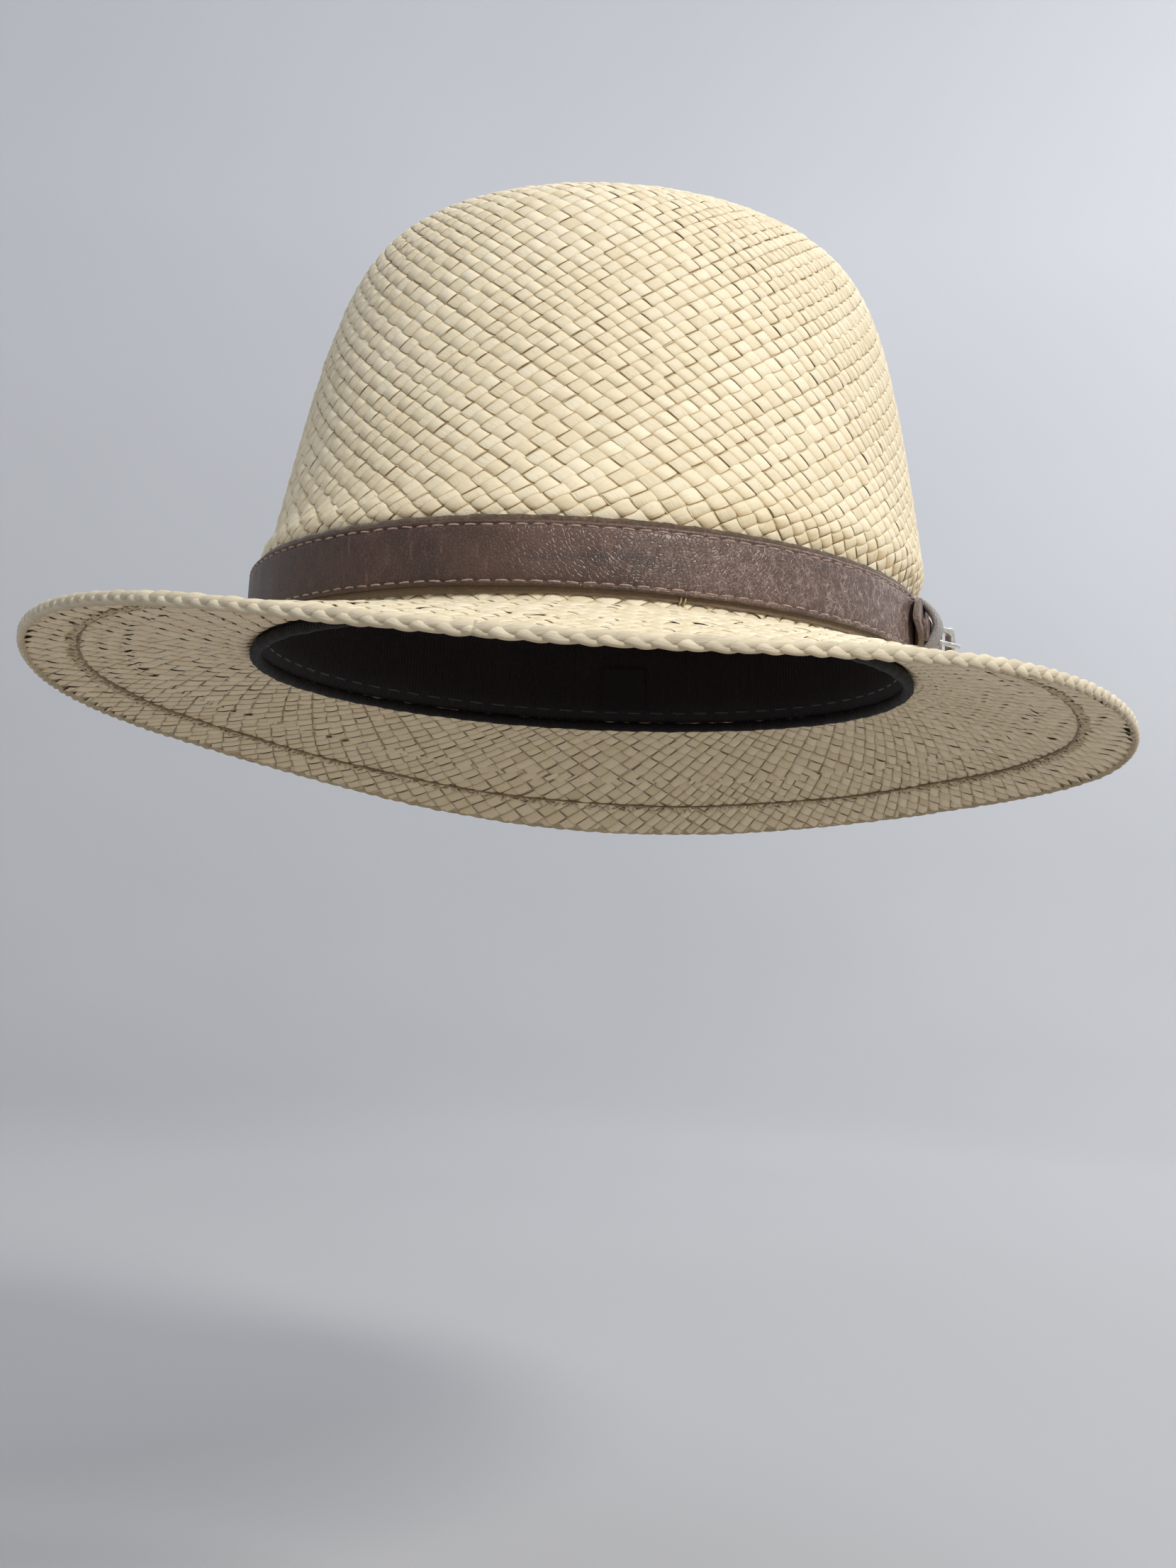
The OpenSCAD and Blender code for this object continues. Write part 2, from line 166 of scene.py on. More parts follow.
def crown_meridian():
    """Rows of half-width, half-length, z, from the middle of the top to under the band"""
    wide, long = HALF_WIDTH + CROWN_BULGE, HALF_LENGTH + CROWN_BULGE
    rise = CROWN_HEIGHT - WALL_FOOT_Z
    run = np.linspace(0.0, 1, 60)
    cap_scale = wall_scale(np.array(CAP_LEVEL))
    cap = np.c_[cap_scale * run * wide, cap_scale * run * long,
                CAP_Z + DOME_RISE * (1 - run * run)]
    level = CAP_LEVEL - (CAP_LEVEL - 0.05) * np.linspace(0, 1, 160)[1:] ** 1.6
    wall = np.c_[wall_scale(level) * wide, wall_scale(level) * long, WALL_FOOT_Z + rise * level]
    foot = np.array([[HALF_WIDTH + 0.5, HALF_LENGTH + 0.5, BAND_Z1 + 1.2],
                     [HALF_WIDTH, HALF_LENGTH, LEAN_START_Z],
                     [HALF_WIDTH, HALF_LENGTH, 8],
                     [HALF_WIDTH, HALF_LENGTH, 3.0]])
    return np.vstack([cap, wall, foot]), len(cap) + len(wall)


CAP_Z = WALL_FOOT_Z + (CROWN_HEIGHT - WALL_FOOT_Z) * CAP_LEVEL
CROWN, CROWN_ROWS = crown_meridian()        # CROWN_ROWS leaves out the foot
_mean = (CROWN[:, 0] + CROWN[:, 1]) / 2
_length = weave_length(
    np.maximum(_mean, 0.5), np.hypot(np.diff(_mean), np.diff(CROWN[:, 2])),
    np.interp((CROWN[1:, 2] + CROWN[:-1, 2]) / 2, *CROWN_STRETCH))
CROWN_ETA = _length[-1] - _length           # rises from the band's foot to the top


def crown(phi, eta):
    """Point of the crown at turn phi and meridian length eta"""
    wide, long, z = (np.interp(eta, CROWN_ETA[::-1], CROWN[::-1, i]) for i in range(3))
    return leaned(ellipse(wide, long, oval_angle(phi), z))


def eta_at_scale(scale):
    """Crown eta of the station whose width is nearest this fraction of the foot's"""
    scales = CROWN[:CROWN_ROWS, 0] / (HALF_WIDTH + CROWN_BULGE)
    return float(CROWN_ETA[np.argmin(np.abs(scales - scale))])


EDGE_INSET = 2 * CORD_RADIUS + 0.03
BRIM_WIDTH_X = RIM_HALF_WIDTH - EDGE_INSET - HALF_WIDTH - BREAK_RADIUS
BRIM_WIDTH_Y = RIM_HALF_LENGTH - EDGE_INSET - HALF_LENGTH - BREAK_RADIUS


def brim_meridian():
    """Rows of distance out, height of the break, fraction of the brim's width"""
    turn = np.linspace(0, math.pi / 2, 14)
    fillet = np.c_[BREAK_RADIUS - BREAK_RADIUS * np.cos(turn),
                   BREAK_RADIUS - BREAK_RADIUS * np.sin(turn), 0 * turn]
    reach = np.linspace(0, 1.036, 82)[1:]
    return np.vstack([[0, 7.0, 0], fillet, np.c_[BREAK_RADIUS + 0 * reach, 0 * reach, reach]])


BRIM = brim_meridian()
BRIM_START = 14                             # row where the break ends
_out = BRIM[:, 0] + BRIM[:, 2] * (BRIM_WIDTH_X + BRIM_WIDTH_Y) / 2
_fall = BRIM[:, 1] - 14 * BRIM[:, 2] ** BRIM_POWER
BRIM_ETA = -weave_length(               # falls towards the rim
    (HALF_LENGTH + HALF_WIDTH) / 2 + _out, np.hypot(np.diff(_out), np.diff(_fall)),
    np.interp((_out[1:] + _out[:-1]) / 2, *BRIM_STRETCH))


def brim(phi, eta):
    """Point of the brim at turn phi and meridian length eta"""
    angle = oval_angle(phi)
    out, height, reach = (np.interp(eta, BRIM_ETA[::-1], BRIM[::-1, i]) for i in range(3))
    return ellipse(HALF_WIDTH + out + BRIM_WIDTH_X * reach,
                   HALF_LENGTH + out + BRIM_WIDTH_Y * reach,
                   angle, height + rim_z(angle) * reach ** BRIM_POWER)


def eta_at_reach(reach):
    return np.interp(reach, BRIM[BRIM_START:, 2], BRIM_ETA[BRIM_START:])


def with_normal(surface, phi, eta):
    step = 2e-4
    along_phi = surface(phi + step, eta) - surface(phi - step, eta)
    along_eta = surface(phi, eta + step) - surface(phi, eta - step)
    return surface(phi, eta), unit(np.cross(along_phi, along_eta))


# ---------------------------------------------------------------- mesh helpers
def paint(mesh, colours):
    """Store the values that the straw material reads at each point"""
    attribute = mesh.attributes.new("straw", "FLOAT_COLOR", "POINT")
    attribute.data.foreach_set("color", np.asarray(colours, np.float32).ravel())


def smooth(mesh):
    mesh.polygons.foreach_set("use_smooth", np.ones(len(mesh.polygons), bool))


def new_mesh(name, verts, faces, tris=(), uv=None, straw=None, bake=None):
    """An object from points in mm, quads and optional triangles; the rest is per point"""
    mesh = bpy.data.meshes.new(name)
    verts = np.asarray(verts, np.float32).reshape(-1, 3) * MM
    quads = np.asarray(faces, np.int32)
    tris = np.asarray(tris, np.int32).reshape(-1, 3)
    corners = np.concatenate([quads.ravel(), tris.ravel()])
    starts = np.concatenate([np.arange(len(quads)) * 4, quads.size + np.arange(len(tris)) * 3])
    mesh.vertices.add(len(verts))
    mesh.vertices.foreach_set("co", verts.ravel())
    mesh.loops.add(len(corners))
    mesh.loops.foreach_set("vertex_index", corners)
    mesh.polygons.add(len(starts))
    mesh.polygons.foreach_set("loop_start", starts.astype(np.int32))
    mesh.polygons.foreach_set(
        "loop_total", np.repeat([4, 3], [len(quads), len(tris)]).astype(np.int32))
    mesh.update(calc_edges=True)
    mesh.validate(clean_customdata=False)
    smooth(mesh)
    corners = np.empty(len(mesh.loops), np.int32)
    mesh.loops.foreach_get("vertex_index", corners)
    for layer_name, values in (("StrawUV", uv), ("OFBake", bake)):
        if values is not None:
            values = np.asarray(values, np.float32).reshape(-1, 2)
            layer = mesh.uv_layers.new(name=layer_name)
            layer.data.foreach_set("uv", values[corners].ravel())
    if straw is not None:
        paint(mesh, straw)
    ob = bpy.data.objects.new(name, mesh)
    bpy.context.scene.collection.objects.link(ob)
    return ob


def merge(name, parts):
    """One object from many parts, each a dict of new_mesh's arrays"""
    flat = [{key: part[key].reshape(-1, part[key].shape[-1]) for key in part} for part in parts]
    start = 0
    for part in flat:
        part["faces"] = part["faces"] + start
        start += len(part["verts"])
    return new_mesh(name, **{key: np.concatenate([part[key] for part in flat])
                             for key in flat[0]})


def grid_faces(rows, columns, closed_rows=False, closed_columns=False, flip=False):
    i, j = np.meshgrid(np.arange(rows if closed_rows else rows - 1),
                       np.arange(columns if closed_columns else columns - 1), indexing="ij")
    i, j = i.ravel(), j.ravel()
    next_i, next_j = (i + 1) % rows, (j + 1) % columns
    a, b = i * columns + j, i * columns + next_j
    c, d = next_i * columns + next_j, next_i * columns + j
    return pack(a, b, c, d) if flip else pack(a, d, c, b)


def tube_faces(rows, sides):
    """Faces of a sweep with open ends"""
    return grid_faces(rows, sides, False, True)


def centre_caps(rows, sides):
    """End fans round two centre points that follow the grid's points"""
    here = np.arange(sides)
    after = (here + 1) % sides
    centre, last = rows * sides, (rows - 1) * sides
    return np.vstack([pack(centre, here, after), pack(centre + 1, last + after, last + here)])


def corner_caps(rows, sides):
    """End fans from the first point of each end"""
    here = np.arange(1, sides - 1)
    last = (rows - 1) * sides
    return np.vstack([pack(0, here, here + 1), pack(last, last + here + 1, last + here)])


def tangents(path, closed=False):
    if closed:
        return unit(np.roll(path, -1, 0) - np.roll(path, 1, 0))
    return unit(np.gradient(path, axis=0))


def upright(tangent, up=UP):
    """The direction nearest to up, square to the tangent"""
    return unit(up - tangent * (tangent @ up)[:, None])


def sweep(path, first, second, width, height):
    """Section points round a path: width along first plus height along second"""
    first, second = np.atleast_2d(first)[:, None], np.atleast_2d(second)[:, None]
    return path[:, None] + width[..., None] * first + height[..., None] * second


def flat_section(height):
    """Six-sided flat section, two units wide"""
    return np.array([[-1, 0], [-0.6, height], [0.6, height],
                     [1, 0], [0.6, -height], [-0.6, -height]])


def tube(name, path, radius, sides=10, closed=True, section=None, up=UP):
    """A tube along a path, round unless a section is given"""
    tangent = tangents(path, closed)
    rise = upright(tangent, up)
    if section is None:
        section = np.stack(circle(sides), -1)
    rows, sides = len(path), len(section)
    radius = np.broadcast_to(radius, (rows,))[:, None]
    verts = sweep(path, np.cross(rise, tangent), rise,
                  radius * section[:, 0], radius * section[:, 1]).reshape(-1, 3)
    steps = np.linalg.norm(np.diff(path, axis=0), axis=1)
    length = np.concatenate([[0], np.cumsum(steps)])
    uv = pack(np.arange(sides) / sides, length[:, None] / 10).reshape(-1, 2)
    if closed:
        return new_mesh(name, verts, grid_faces(rows, sides, True, True), uv=uv)
    return new_mesh(name, np.vstack([verts, path[0], path[-1]]), tube_faces(rows, sides),
                    centre_caps(rows, sides), np.vstack([uv, uv[0], uv[-1]]))


def loft(name, angles, profile, offset, closed=True, lean=False):
    """Sweep a profile of [outward, z] round the head; offset adds to it at every station"""
    points = profile + offset
    rows, sides = points.shape[:2]
    verts = at_band(points[..., 0], angles[:, None], points[..., 1])
    if lean:
        verts = leaned(verts)
    verts = verts.reshape(-1, 3)
    length = np.interp(np.mod(angles, TAU), OVAL_ANGLES, OVAL_LENGTHS)
    girth = np.concatenate([[0], np.cumsum(np.hypot(*np.diff(profile, axis=0).T))])
    uv = pack(length[:, None] * 0.01, girth * 0.01).reshape(-1, 2)
    faces = grid_faces(rows, sides, closed, True)
    if closed:
        return new_mesh(name, verts, faces, uv=uv)
    verts = np.vstack([verts, verts[:sides].mean(0), verts[-sides:].mean(0)])
    return new_mesh(name, verts, faces, centre_caps(rows, sides),
                    np.vstack([uv, uv[0], uv[-1]]))


def lathe(name, profile, count=32, centre=(0, 0, 0), closed_profile=True):
    """Turn a profile of [radius, z] about Z"""
    profile = np.asarray(profile, float)
    cos, sin = circle(count)
    radius, z = profile.T
    verts = pack(radius * cos[:, None], radius * sin[:, None], z) + np.array(centre)
    return new_mesh(name, verts, grid_faces(count, len(profile), True, closed_profile))


def ring_profile(inner, outer, z0, z1, bevel):
    """Section of a ring with bevelled edges"""
    soft = bevel * 0.3
    return [(inner, z0 + bevel), (inner + bevel, z0), (outer - bevel, z0),
            (outer - soft, z0 + soft), (outer, z0 + bevel), (outer, z1 - bevel),
            (outer - soft, z1 - soft), (outer - bevel, z1), (inner + bevel, z1),
            (inner, z1 - bevel)]


def select_only(objects):
    for ob in bpy.context.selected_objects:
        ob.select_set(False)
    for ob in objects:
        ob.select_set(True)
    bpy.context.view_layer.objects.active = objects[0]


def join(objects, name):
    select_only(objects)
    bpy.ops.object.join()
    objects[0].name = name
    objects[0].data.name = name
    return objects[0]


def fix_normals(ob):
    select_only([ob])
    bpy.ops.object.mode_set(mode="EDIT")
    bpy.ops.mesh.select_all(action="SELECT")
    bpy.ops.mesh.normals_make_consistent(inside=False)
    bpy.ops.object.mode_set(mode="OBJECT")


def plate(name, us, vs, keep, place, bevel, segments):
    """A bevelled plate made of the kept cells of a grid.

    place(u, v, h) gives the points, with h from 0 (inside) to 1 (outside).
    """
    u, v = np.meshgrid(us, vs, indexing="ij")
    layers = [place(u, v, np.full(u.shape, h)).reshape(-1, 3) for h in (1.0, 0.0)]
    below = u.size
    kept = keep((u[1:, 1:] + u[:-1, :-1]) / 2, (v[1:, 1:] + v[:-1, :-1]) / 2)
    padded = np.pad(kept, 1)                # the border counts as empty
    faces = []
    for i, j in np.argwhere(kept):
        a = i * len(vs) + j
        b, c, d = a + len(vs), a + len(vs) + 1, a + 1
        faces.append((a, b, c, d))
        faces.append((below + d, below + c, below + b, below + a))
        sides = ((a, b, i, j - 1), (b, c, i + 1, j), (c, d, i, j + 1), (d, a, i - 1, j))
        for start, end, next_i, next_j in sides:
            if not padded[next_i + 1, next_j + 1]:
                faces.append((end, start, below + start, below + end))
    used = np.unique(np.array(faces))
    ob = new_mesh(name, np.vstack(layers)[used], np.searchsorted(used, np.array(faces)))
    fix_normals(ob)
    modifier = ob.modifiers.new("edge", "BEVEL")
    modifier.width = bevel * MM
    modifier.segments = segments
    modifier.limit_method = "ANGLE"
    modifier.angle_limit = math.radians(50)
    select_only([ob])
    bpy.ops.object.modifier_apply(modifier=modifier.name)
    smooth(ob.data)
    return ob


# ---------------------------------------------------------------- weaving
WAVE_HEIGHT, STRAND_THICK = 0.40, 0.44
WEAVE_DEPTH = 0.80                          # mid-plane of the weave below the outer surface

# Stations along one crossing, as a fraction of it
CROSSING = np.array([0.0, 0.14, 0.37, 0.63, 0.86])

# The two directions of strand. turn: sign of eta in the angle phi + turn * eta that numbers
# the strands; lifts and widths: at the CROSSING stations; tilt: roll of the strand;
# dome: rounding of its face; fibre: base and spread of the grain's strength
Family = namedtuple("Family", "turn lifts widths tilt dome fibre")
FAMILIES = (
    Family(turn=1, lifts=np.array([0.0, 0.86, 1.00, 1.00, 0.86]),
           widths=np.array([0.95, 1.0, 1.03, 1.03, 1.0]), tilt=-0.13, dome=0.05,
           fibre=(0.55, 0.45)),
    Family(turn=-1, lifts=np.array([0.0, 0.80, 1.10, 1.14, 0.84]),
           widths=np.array([0.93, 0.99, 1.03, 1.03, 1.0]), tilt=0.02, dome=0.11,
           fibre=(0.10, 0.35)),
)

# Closed section of a strand, from one edge over the outside and back: across, height
STRAND_ACROSS = np.array([-1, -0.86, -0.36, 0.36, 0.86, 1, 0.86, 0.36, -0.36, -0.86])
STRAND_HEIGHT = np.array([0, 0.66, 1.0, 1.0, 0.66, 0, -0.66, -1.0, -1.0, -0.66])
SLIVER_ACROSS = np.array([-1, 0, 1, 0])
SLIVER_HEIGHT = np.array([0, 1.0, 0, -1.0])


def warp(count, seed, first_size, first_phase):
    """Uneven spacing of the strands: a map from index to index, close to the identity"""
    rng = np.random.default_rng(seed)
    waves = [(1, first_size, first_phase)]
    waves += [(n, rng.uniform(0.05, 0.11), rng.uniform(0, TAU)) for n in (3, 5, 8)]
    base = sum(size * count / TAU / n * math.sin(phase) for n, size, phase in waves)

    def spaced(x):
        return x + sum(size * count / TAU / n * np.sin(TAU * n * x / count + phase)
                       for n, size, phase in waves) - base
    return spaced


def weave(strands, surface, counts, eta_low, eta_high, seed, lift=1.0, thick=STRAND_THICK,
          slivers=True, skew=0.0):
    """Plain weave of flat strands, one over and one under, between two etas of a surface.

    The strands are added to the lists in strands, keyed by family and by odd or even number.
    """
    spacings = (warp(counts[0], seed + 500, 0.22, 0.6), warp(counts[1], seed + 600, 0.12, 2.0))
    bow = np.sin(math.pi * CROSSING)
    stations = len(CROSSING)
    for index, family in enumerate(FAMILIES):
        count, turn, side = counts[index], family.turn, -family.turn
        own, other = spacings[index], spacings[1 - index]
        own_step, cross_step = TAU / count, TAU / counts[1 - index]
        rng = np.random.default_rng(seed + 1 + index)
        width_noise = rng.normal(0, 0.045, count)
        tints, fibres = rng.random(count), rng.random(count)
        shifts = rng.normal(0, 0.04, count)
        for j in range(count):
            centre = own_step * own(j + 0.5)
            low, high = sorted((centre - turn * 2 * eta_low, centre - turn * 2 * eta_high))
            crossings = np.arange(math.floor(low / cross_step) - 12,
                                  math.ceil(high / cross_step) + 12)
            pos = (crossings[:, None] + CROSSING[None]).ravel()
            cross = cross_step * other(pos)
            eta = turn * (centre - cross) / 2 + skew * np.cos((centre + cross) / 2)
            over = (j + crossings) % 2 == index
            sign = np.where(over, 1.0, -1.0)
            height_noise = rng.normal(0, 0.06, len(crossings))
            tilt_noise = rng.normal(0, 0.045, len(crossings))
            flecks = rng.random(len(crossings))
            bow_noise = rng.normal(0, 0.03, len(crossings))
            height = (sign[:, None] * family.lifts[None] * WAVE_HEIGHT * lift
                      + (height_noise * sign * (flecks > 0.2))[:, None] * bow[None]).ravel()
            width = family.widths[None] * np.where(over, 1.0, 0.95)[:, None]
            width = (width + bow_noise[:, None] * bow[None]).ravel()
            width = width * (1 + width_noise[j]) * 1.035
            tilt = np.repeat(tilt_noise, stations) + family.tilt
            tilt = tilt * (np.abs(height) / WAVE_HEIGHT) * lift

            kept = np.flatnonzero((eta >= eta_low) & (eta <= eta_high))
            if len(kept) < 4:
                continue
            kept = kept[np.argsort(eta[kept])]
            pos, cross, height, width, tilt, fleck, sign = (
                values[kept][:, None] for values in (
                    pos, cross, height, width, tilt,
                    np.repeat(flecks, stations), np.repeat(sign, stations)))
            wobble = shifts[j] + 0.035 * np.sin(pos * 1.3 + j * 1.7)
            travel = (pos - pos.min()) / max(1e-6, np.ptp(pos)) * 0.998 + 0.001
            # how deep a point lies between its neighbours, the same from both sides; the material
            # paints shade from it
            depth = np.clip(np.abs(height) / (WAVE_HEIGHT * lift) * 0.85 + 0.15, 0, 1)
            fibre = family.fibre[0] + family.fibre[1] * fibres[j]

            def add_ribbon(across, section, thickness, shift, breadth, level, uv_width):
                number = (j + 0.5 + wobble + shift) + 0.5 * breadth * across
                angle = own_step * own(number)
                phi = (angle + cross) / 2
                point, normal = with_normal(
                    surface, phi, turn * (angle - cross) / 2 + skew * np.cos(phi))
                rise = level + 0.5 * thickness * section - WEAVE_DEPTH
                # edge darkens each strand's rims: painted shade where a strand meets its
                # neighbours
                edge = 1 - 0.22 * np.clip(np.abs(across) - 0.8, 0, 1) / 0.2
                strands[index, j % 2].append(dict(
                    verts=point + normal * rise[..., None],
                    faces=grid_faces(len(pos), len(across), False, True, flip=turn < 0),
                    uv=pack((across * 0.5 + 0.5) * uv_width + j * 1.37,
                            pos * 0.36 + tints[j] * 50),
                    straw=pack(tints[j], fleck, depth * edge, fibre),
                    bake=pack(travel, np.linspace(0.02, 0.98, len(across)))))

            swell = family.dome * lift * (sign * np.clip(np.abs(height) / WAVE_HEIGHT, 0, 1))
            face = swell * (1 - STRAND_ACROSS ** 2) - 0.05 * sign + tilt * STRAND_ACROSS
            add_ribbon(STRAND_ACROSS, STRAND_HEIGHT, thick, shift=0, breadth=width,
                       level=height + face, uv_width=1.0)
            if slivers and j % 3 != 1:
                # a thin second strand that peeks out along one edge
                peek = 0.47 + 0.055 * np.sin(pos * 0.83 + j * 2.1) + 0.03 * np.sin(pos * 2.7 + j)
                add_ribbon(SLIVER_ACROSS, SLIVER_HEIGHT, 0.24, shift=side * peek, breadth=0.17,
                           level=height * 0.72 - 0.07 * sign + tilt * side * 0.8, uv_width=0.2)


def strand_lists():
    return {(family, parity): [] for family in (0, 1) for parity in (0, 1)}


def build_strands(name, parts):
    """Join strands into a mesh, each with its own row in the OFBake map"""
    for row, part in enumerate(parts):
        part["bake"][..., 1] = (part["bake"][..., 1] + row) / len(parts)
    return merge(name, parts)


CROWN_FOOT = float(np.interp(6.0, CROWN[::-1, 2][:3], CROWN_ETA[::-1][:3]))
ZONE_OVERLAP = 0.008
# Zones of the crown's top: strands of each family, outer and inner scale of the zone
TOP_ZONES = [(72, 64, 0.625, 0.42), (48, 44, 0.425, 0.28), (32, 30, 0.285, 0.185),
             (22, 20, 0.19, 0.115), (14, 12, 0.118, 0.05)]


def crown_weave():
    """Four wall meshes and the top, which needs fewer strands towards its middle"""
    wall = strand_lists()
    weave(wall, crown, (104, 96), CROWN_FOOT, eta_at_scale(0.62) + ZONE_OVERLAP, seed=11,
          skew=0.26)
    top = []
    for zone, (count_a, count_b, outer, inner) in enumerate(TOP_ZONES, start=1):
        shrink = max(0.5, 1 - 0.09 * zone)
        weave(dict.fromkeys(wall, top), crown, (count_a, count_b), eta_at_scale(outer),
              eta_at_scale(inner) + ZONE_OVERLAP, seed=20 + 7 * zone, lift=shrink,
              thick=STRAND_THICK * shrink, slivers=False, skew=0.26 - 0.04 * zone)
    walls = [build_strands("crown_weave_%s%d" % ("ab"[family], parity + 1),
                           wall[family, parity]) for family, parity in sorted(wall)]
    return walls, build_strands("crown_weave_top", top)


crown_parts, crown_top = crown_weave()

BRIM_SPLIT_ETA = float(eta_at_reach(0.56))  # finer strands outside this line
BRIM_INNER_ETA = float(np.interp(5.6, [BREAK_RADIUS, 7.0], [BRIM_ETA[1], 0.0]))


def brim_weave():
    inner, outer = strand_lists(), strand_lists()
    weave(inner, brim, (112, 108), BRIM_SPLIT_ETA - 0.006, BRIM_INNER_ETA, seed=61)
    weave(outer, brim, (144, 140), float(eta_at_reach(1.03)), BRIM_SPLIT_ETA + 0.010, seed=71,
          lift=0.95)
    return [build_strands("brim_weave_%s_%s" % (zone, "ab"[family]),
                          strands[family, 0] + strands[family, 1])
            for zone, strands in (("inner", inner), ("outer", outer)) for family in (0, 1)]


brim_parts = brim_weave()


def ply():
    """Thin ply between the two faces of the weave, so that no light passes; its dark brown is
    painted shade seen through gaps in the weave
    """
    shoulder = eta_at_scale(0.6)
    crown_etas = np.concatenate([np.linspace(CROWN_FOOT * 0.4, shoulder, 40),
                                 np.linspace(shoulder + 0.02, CROWN_ETA[1], 40)])
    brim_etas = np.linspace(float(eta_at_reach(1.02)), BRIM_INNER_ETA + 0.02, 44)
    turns = np.linspace(0, TAU, 180, endpoint=False)[:, None]
    parts = []
    for surface, etas in ((crown, crown_etas), (brim, brim_etas)):
        point, normal = with_normal(surface, turns, etas[None])
        for depth, flip in ((WEAVE_DEPTH - 0.04, True), (WEAVE_DEPTH + 0.04, False)):
            parts.append(dict(verts=point - normal * depth,
                              faces=grid_faces(len(turns), len(etas), True, False, flip)))
    return merge("straw_shade_ply", parts)


straw_shade_ply = ply()


def knot():
    """Small woven knot in the middle of the top"""
    middle = leaned(np.array([0, 0, CROWN_HEIGHT]))
    middle[2] = CAP_Z + DOME_RISE - WEAVE_DEPTH
    run = np.linspace(-1, 1, 15)
    straws = []
    for i, angle in enumerate(np.linspace(0, TAU, 8, endpoint=False)):
        along = np.array([math.cos(angle), math.sin(angle), 0])
        aside = np.array([math.cos(angle + 1.57), math.sin(angle + 1.57), 0])
        wave = 0.35 * np.cos(run * 9 + i * math.pi) + 0.45
        path = (middle + along * (run * 6.0)[:, None] + UP * wave[:, None]
                + aside * (0.9 * ((i % 4) - 1.5)))
        straws.append(tube("knot_straw", path, 1.05, closed=False, section=flat_section(0.22)))
    ob = join(straws, "crown_knot")
    paint(ob.data, np.tile([0.5, 0.5, 0.9, 0.5], (len(ob.data.vertices), 1)))
    return ob


crown_knot = knot()


# ---------------------------------------------------------------- braided edge
def rim_curve(angle):
    return ellipse(RIM_HALF_WIDTH - CORD_RADIUS, RIM_HALF_LENGTH - CORD_RADIUS, angle,
                   rim_z(angle) - 0.7)


def braid():
    """A plait of three flat strands round the rim"""
    pitch, per_turn = 15.0, 22              # length of one plait turn, stations in it
    angles = np.linspace(0, TAU, 6001)
    steps = np.linalg.norm(np.diff(rim_curve(angles), axis=0), axis=1)
    lengths = np.concatenate([[0], np.cumsum(steps)])
    turns = round(lengths[-1] / pitch)
    rows = turns * per_turn
    run = np.arange(rows) / rows
    core = rim_curve(np.interp(run * lengths[-1], lengths, angles))
    tangent = tangents(core, closed=True)
    rise = upright(tangent)
    out = np.cross(tangent, rise)
    sides = 10
    cos, sin = circle(sides)
    parts = []
    for k in range(3):
        phase = run * TAU * turns + k * TAU / 3
        wobble = (1 + 0.10 * np.sin(run * TAU * 37 + k) * np.sin(run * TAU * 11 + 2 * k)
                  + 0.06 * np.sin(run * TAU * 173 + k * 2))
        path = (core + rise * (0.62 * np.sin(phase) - 0.10)[:, None]
                + out * (0.40 * np.sin(2 * phase) + 0.12)[:, None])
        tangent = tangents(path, closed=True)
        breadth = unit(np.cross(tangent, out))
        # flat lens section lying in the plait
        verts = sweep(path, breadth, np.cross(breadth, tangent),
                      (1.06 * wobble)[:, None] * cos, 0.60 * sin - 0.22 * cos ** 2)
        lay = np.floor(run * turns + k / 3).astype(int)
        chance = RNG.random(turns + 3)
        tint, fleck, fibre = (chance[(lay * n) % (turns + 1)][:, None] for n in (1, 7, 3))
        parts.append(dict(
            verts=verts, faces=grid_faces(rows, sides, True, True),
            uv=pack(cos * 0.5 + 0.5 + k * 3.1, (run * lengths[-1])[:, None] * 0.1),
            # third value paints shade: each strand is darker on its face turned towards the hat
            straw=pack(0.35 + 0.3 * tint, fleck, np.clip(0.52 + 0.55 * sin, 0.34, 1), fibre),
            bake=pack(run[:, None], (k + 0.05 + 0.9 * np.arange(sides) / sides) / 3)))
    return merge("rim_braid_cord", parts)


rim_cord = braid()


# ---------------------------------------------------------------- line under the brim
def under_brim(phi, reach, drop):
    """A point under the brim at outward fraction reach, drop below its upper surface"""
    point, normal = with_normal(brim, phi, eta_at_reach(reach))
    return point - normal * drop[..., None]


def back_weave():
    """A line round the underside of the brim and the cut strand ends beside it"""
    phi = np.linspace(0, TAU, 900, endpoint=False)
    reach = 0.775 + 0.006 * np.sin(phi * 5 + 1) + 0.004 * np.sin(phi * 13)
    line = tube("back_weave_line", under_brim(phi, reach, 1.58 + 0.06 * np.sin(phi * 60)),
                0.34 + 0.08 * np.sin(phi * 71), 6)
    rng = np.random.default_rng(5)
    section = flat_section(0.45)
    run = np.linspace(0, 1, 5)
    count = 420
    parts = []
    for i in range(count):
        turn = (i + rng.normal(0, 0.2)) / count * TAU
        length = rng.uniform(0.02, 0.055)
        reach = 0.785 + run * length + rng.normal(0, 0.003)
        turns = turn + (run - 0.5) * rng.normal(0, 0.012)
        drop = 1.42 + 0.42 * np.sin(math.pi * np.clip(run * 1.15, 0, 1))
        path = under_brim(turns, reach, drop)
        half_width = 0.62 * rng.uniform(0.7, 1.1)
        verts = sweep(path, unit(np.cross(tangents(path), -UP)), -UP,
                      half_width * section[:, 0], 0.5 * section[:, 1])
        parts.append(dict(
            verts=verts, faces=tube_faces(5, 6),
            uv=pack(section[:, 0] * 0.5 + 0.5 + i, run[:, None] * 0.3),
            # depth value 0.55 darkens the ends: painted shade under the brim
            straw=np.tile([*rng.random(2), 0.55, 0.6], (30, 1))))
    return line, merge("back_weave_ends", parts)


back_line, back_ends = back_weave()

# ---------------------------------------------------------------- material helpers
BLACK, WHITE = (0, 0, 0), (1, 1, 1)


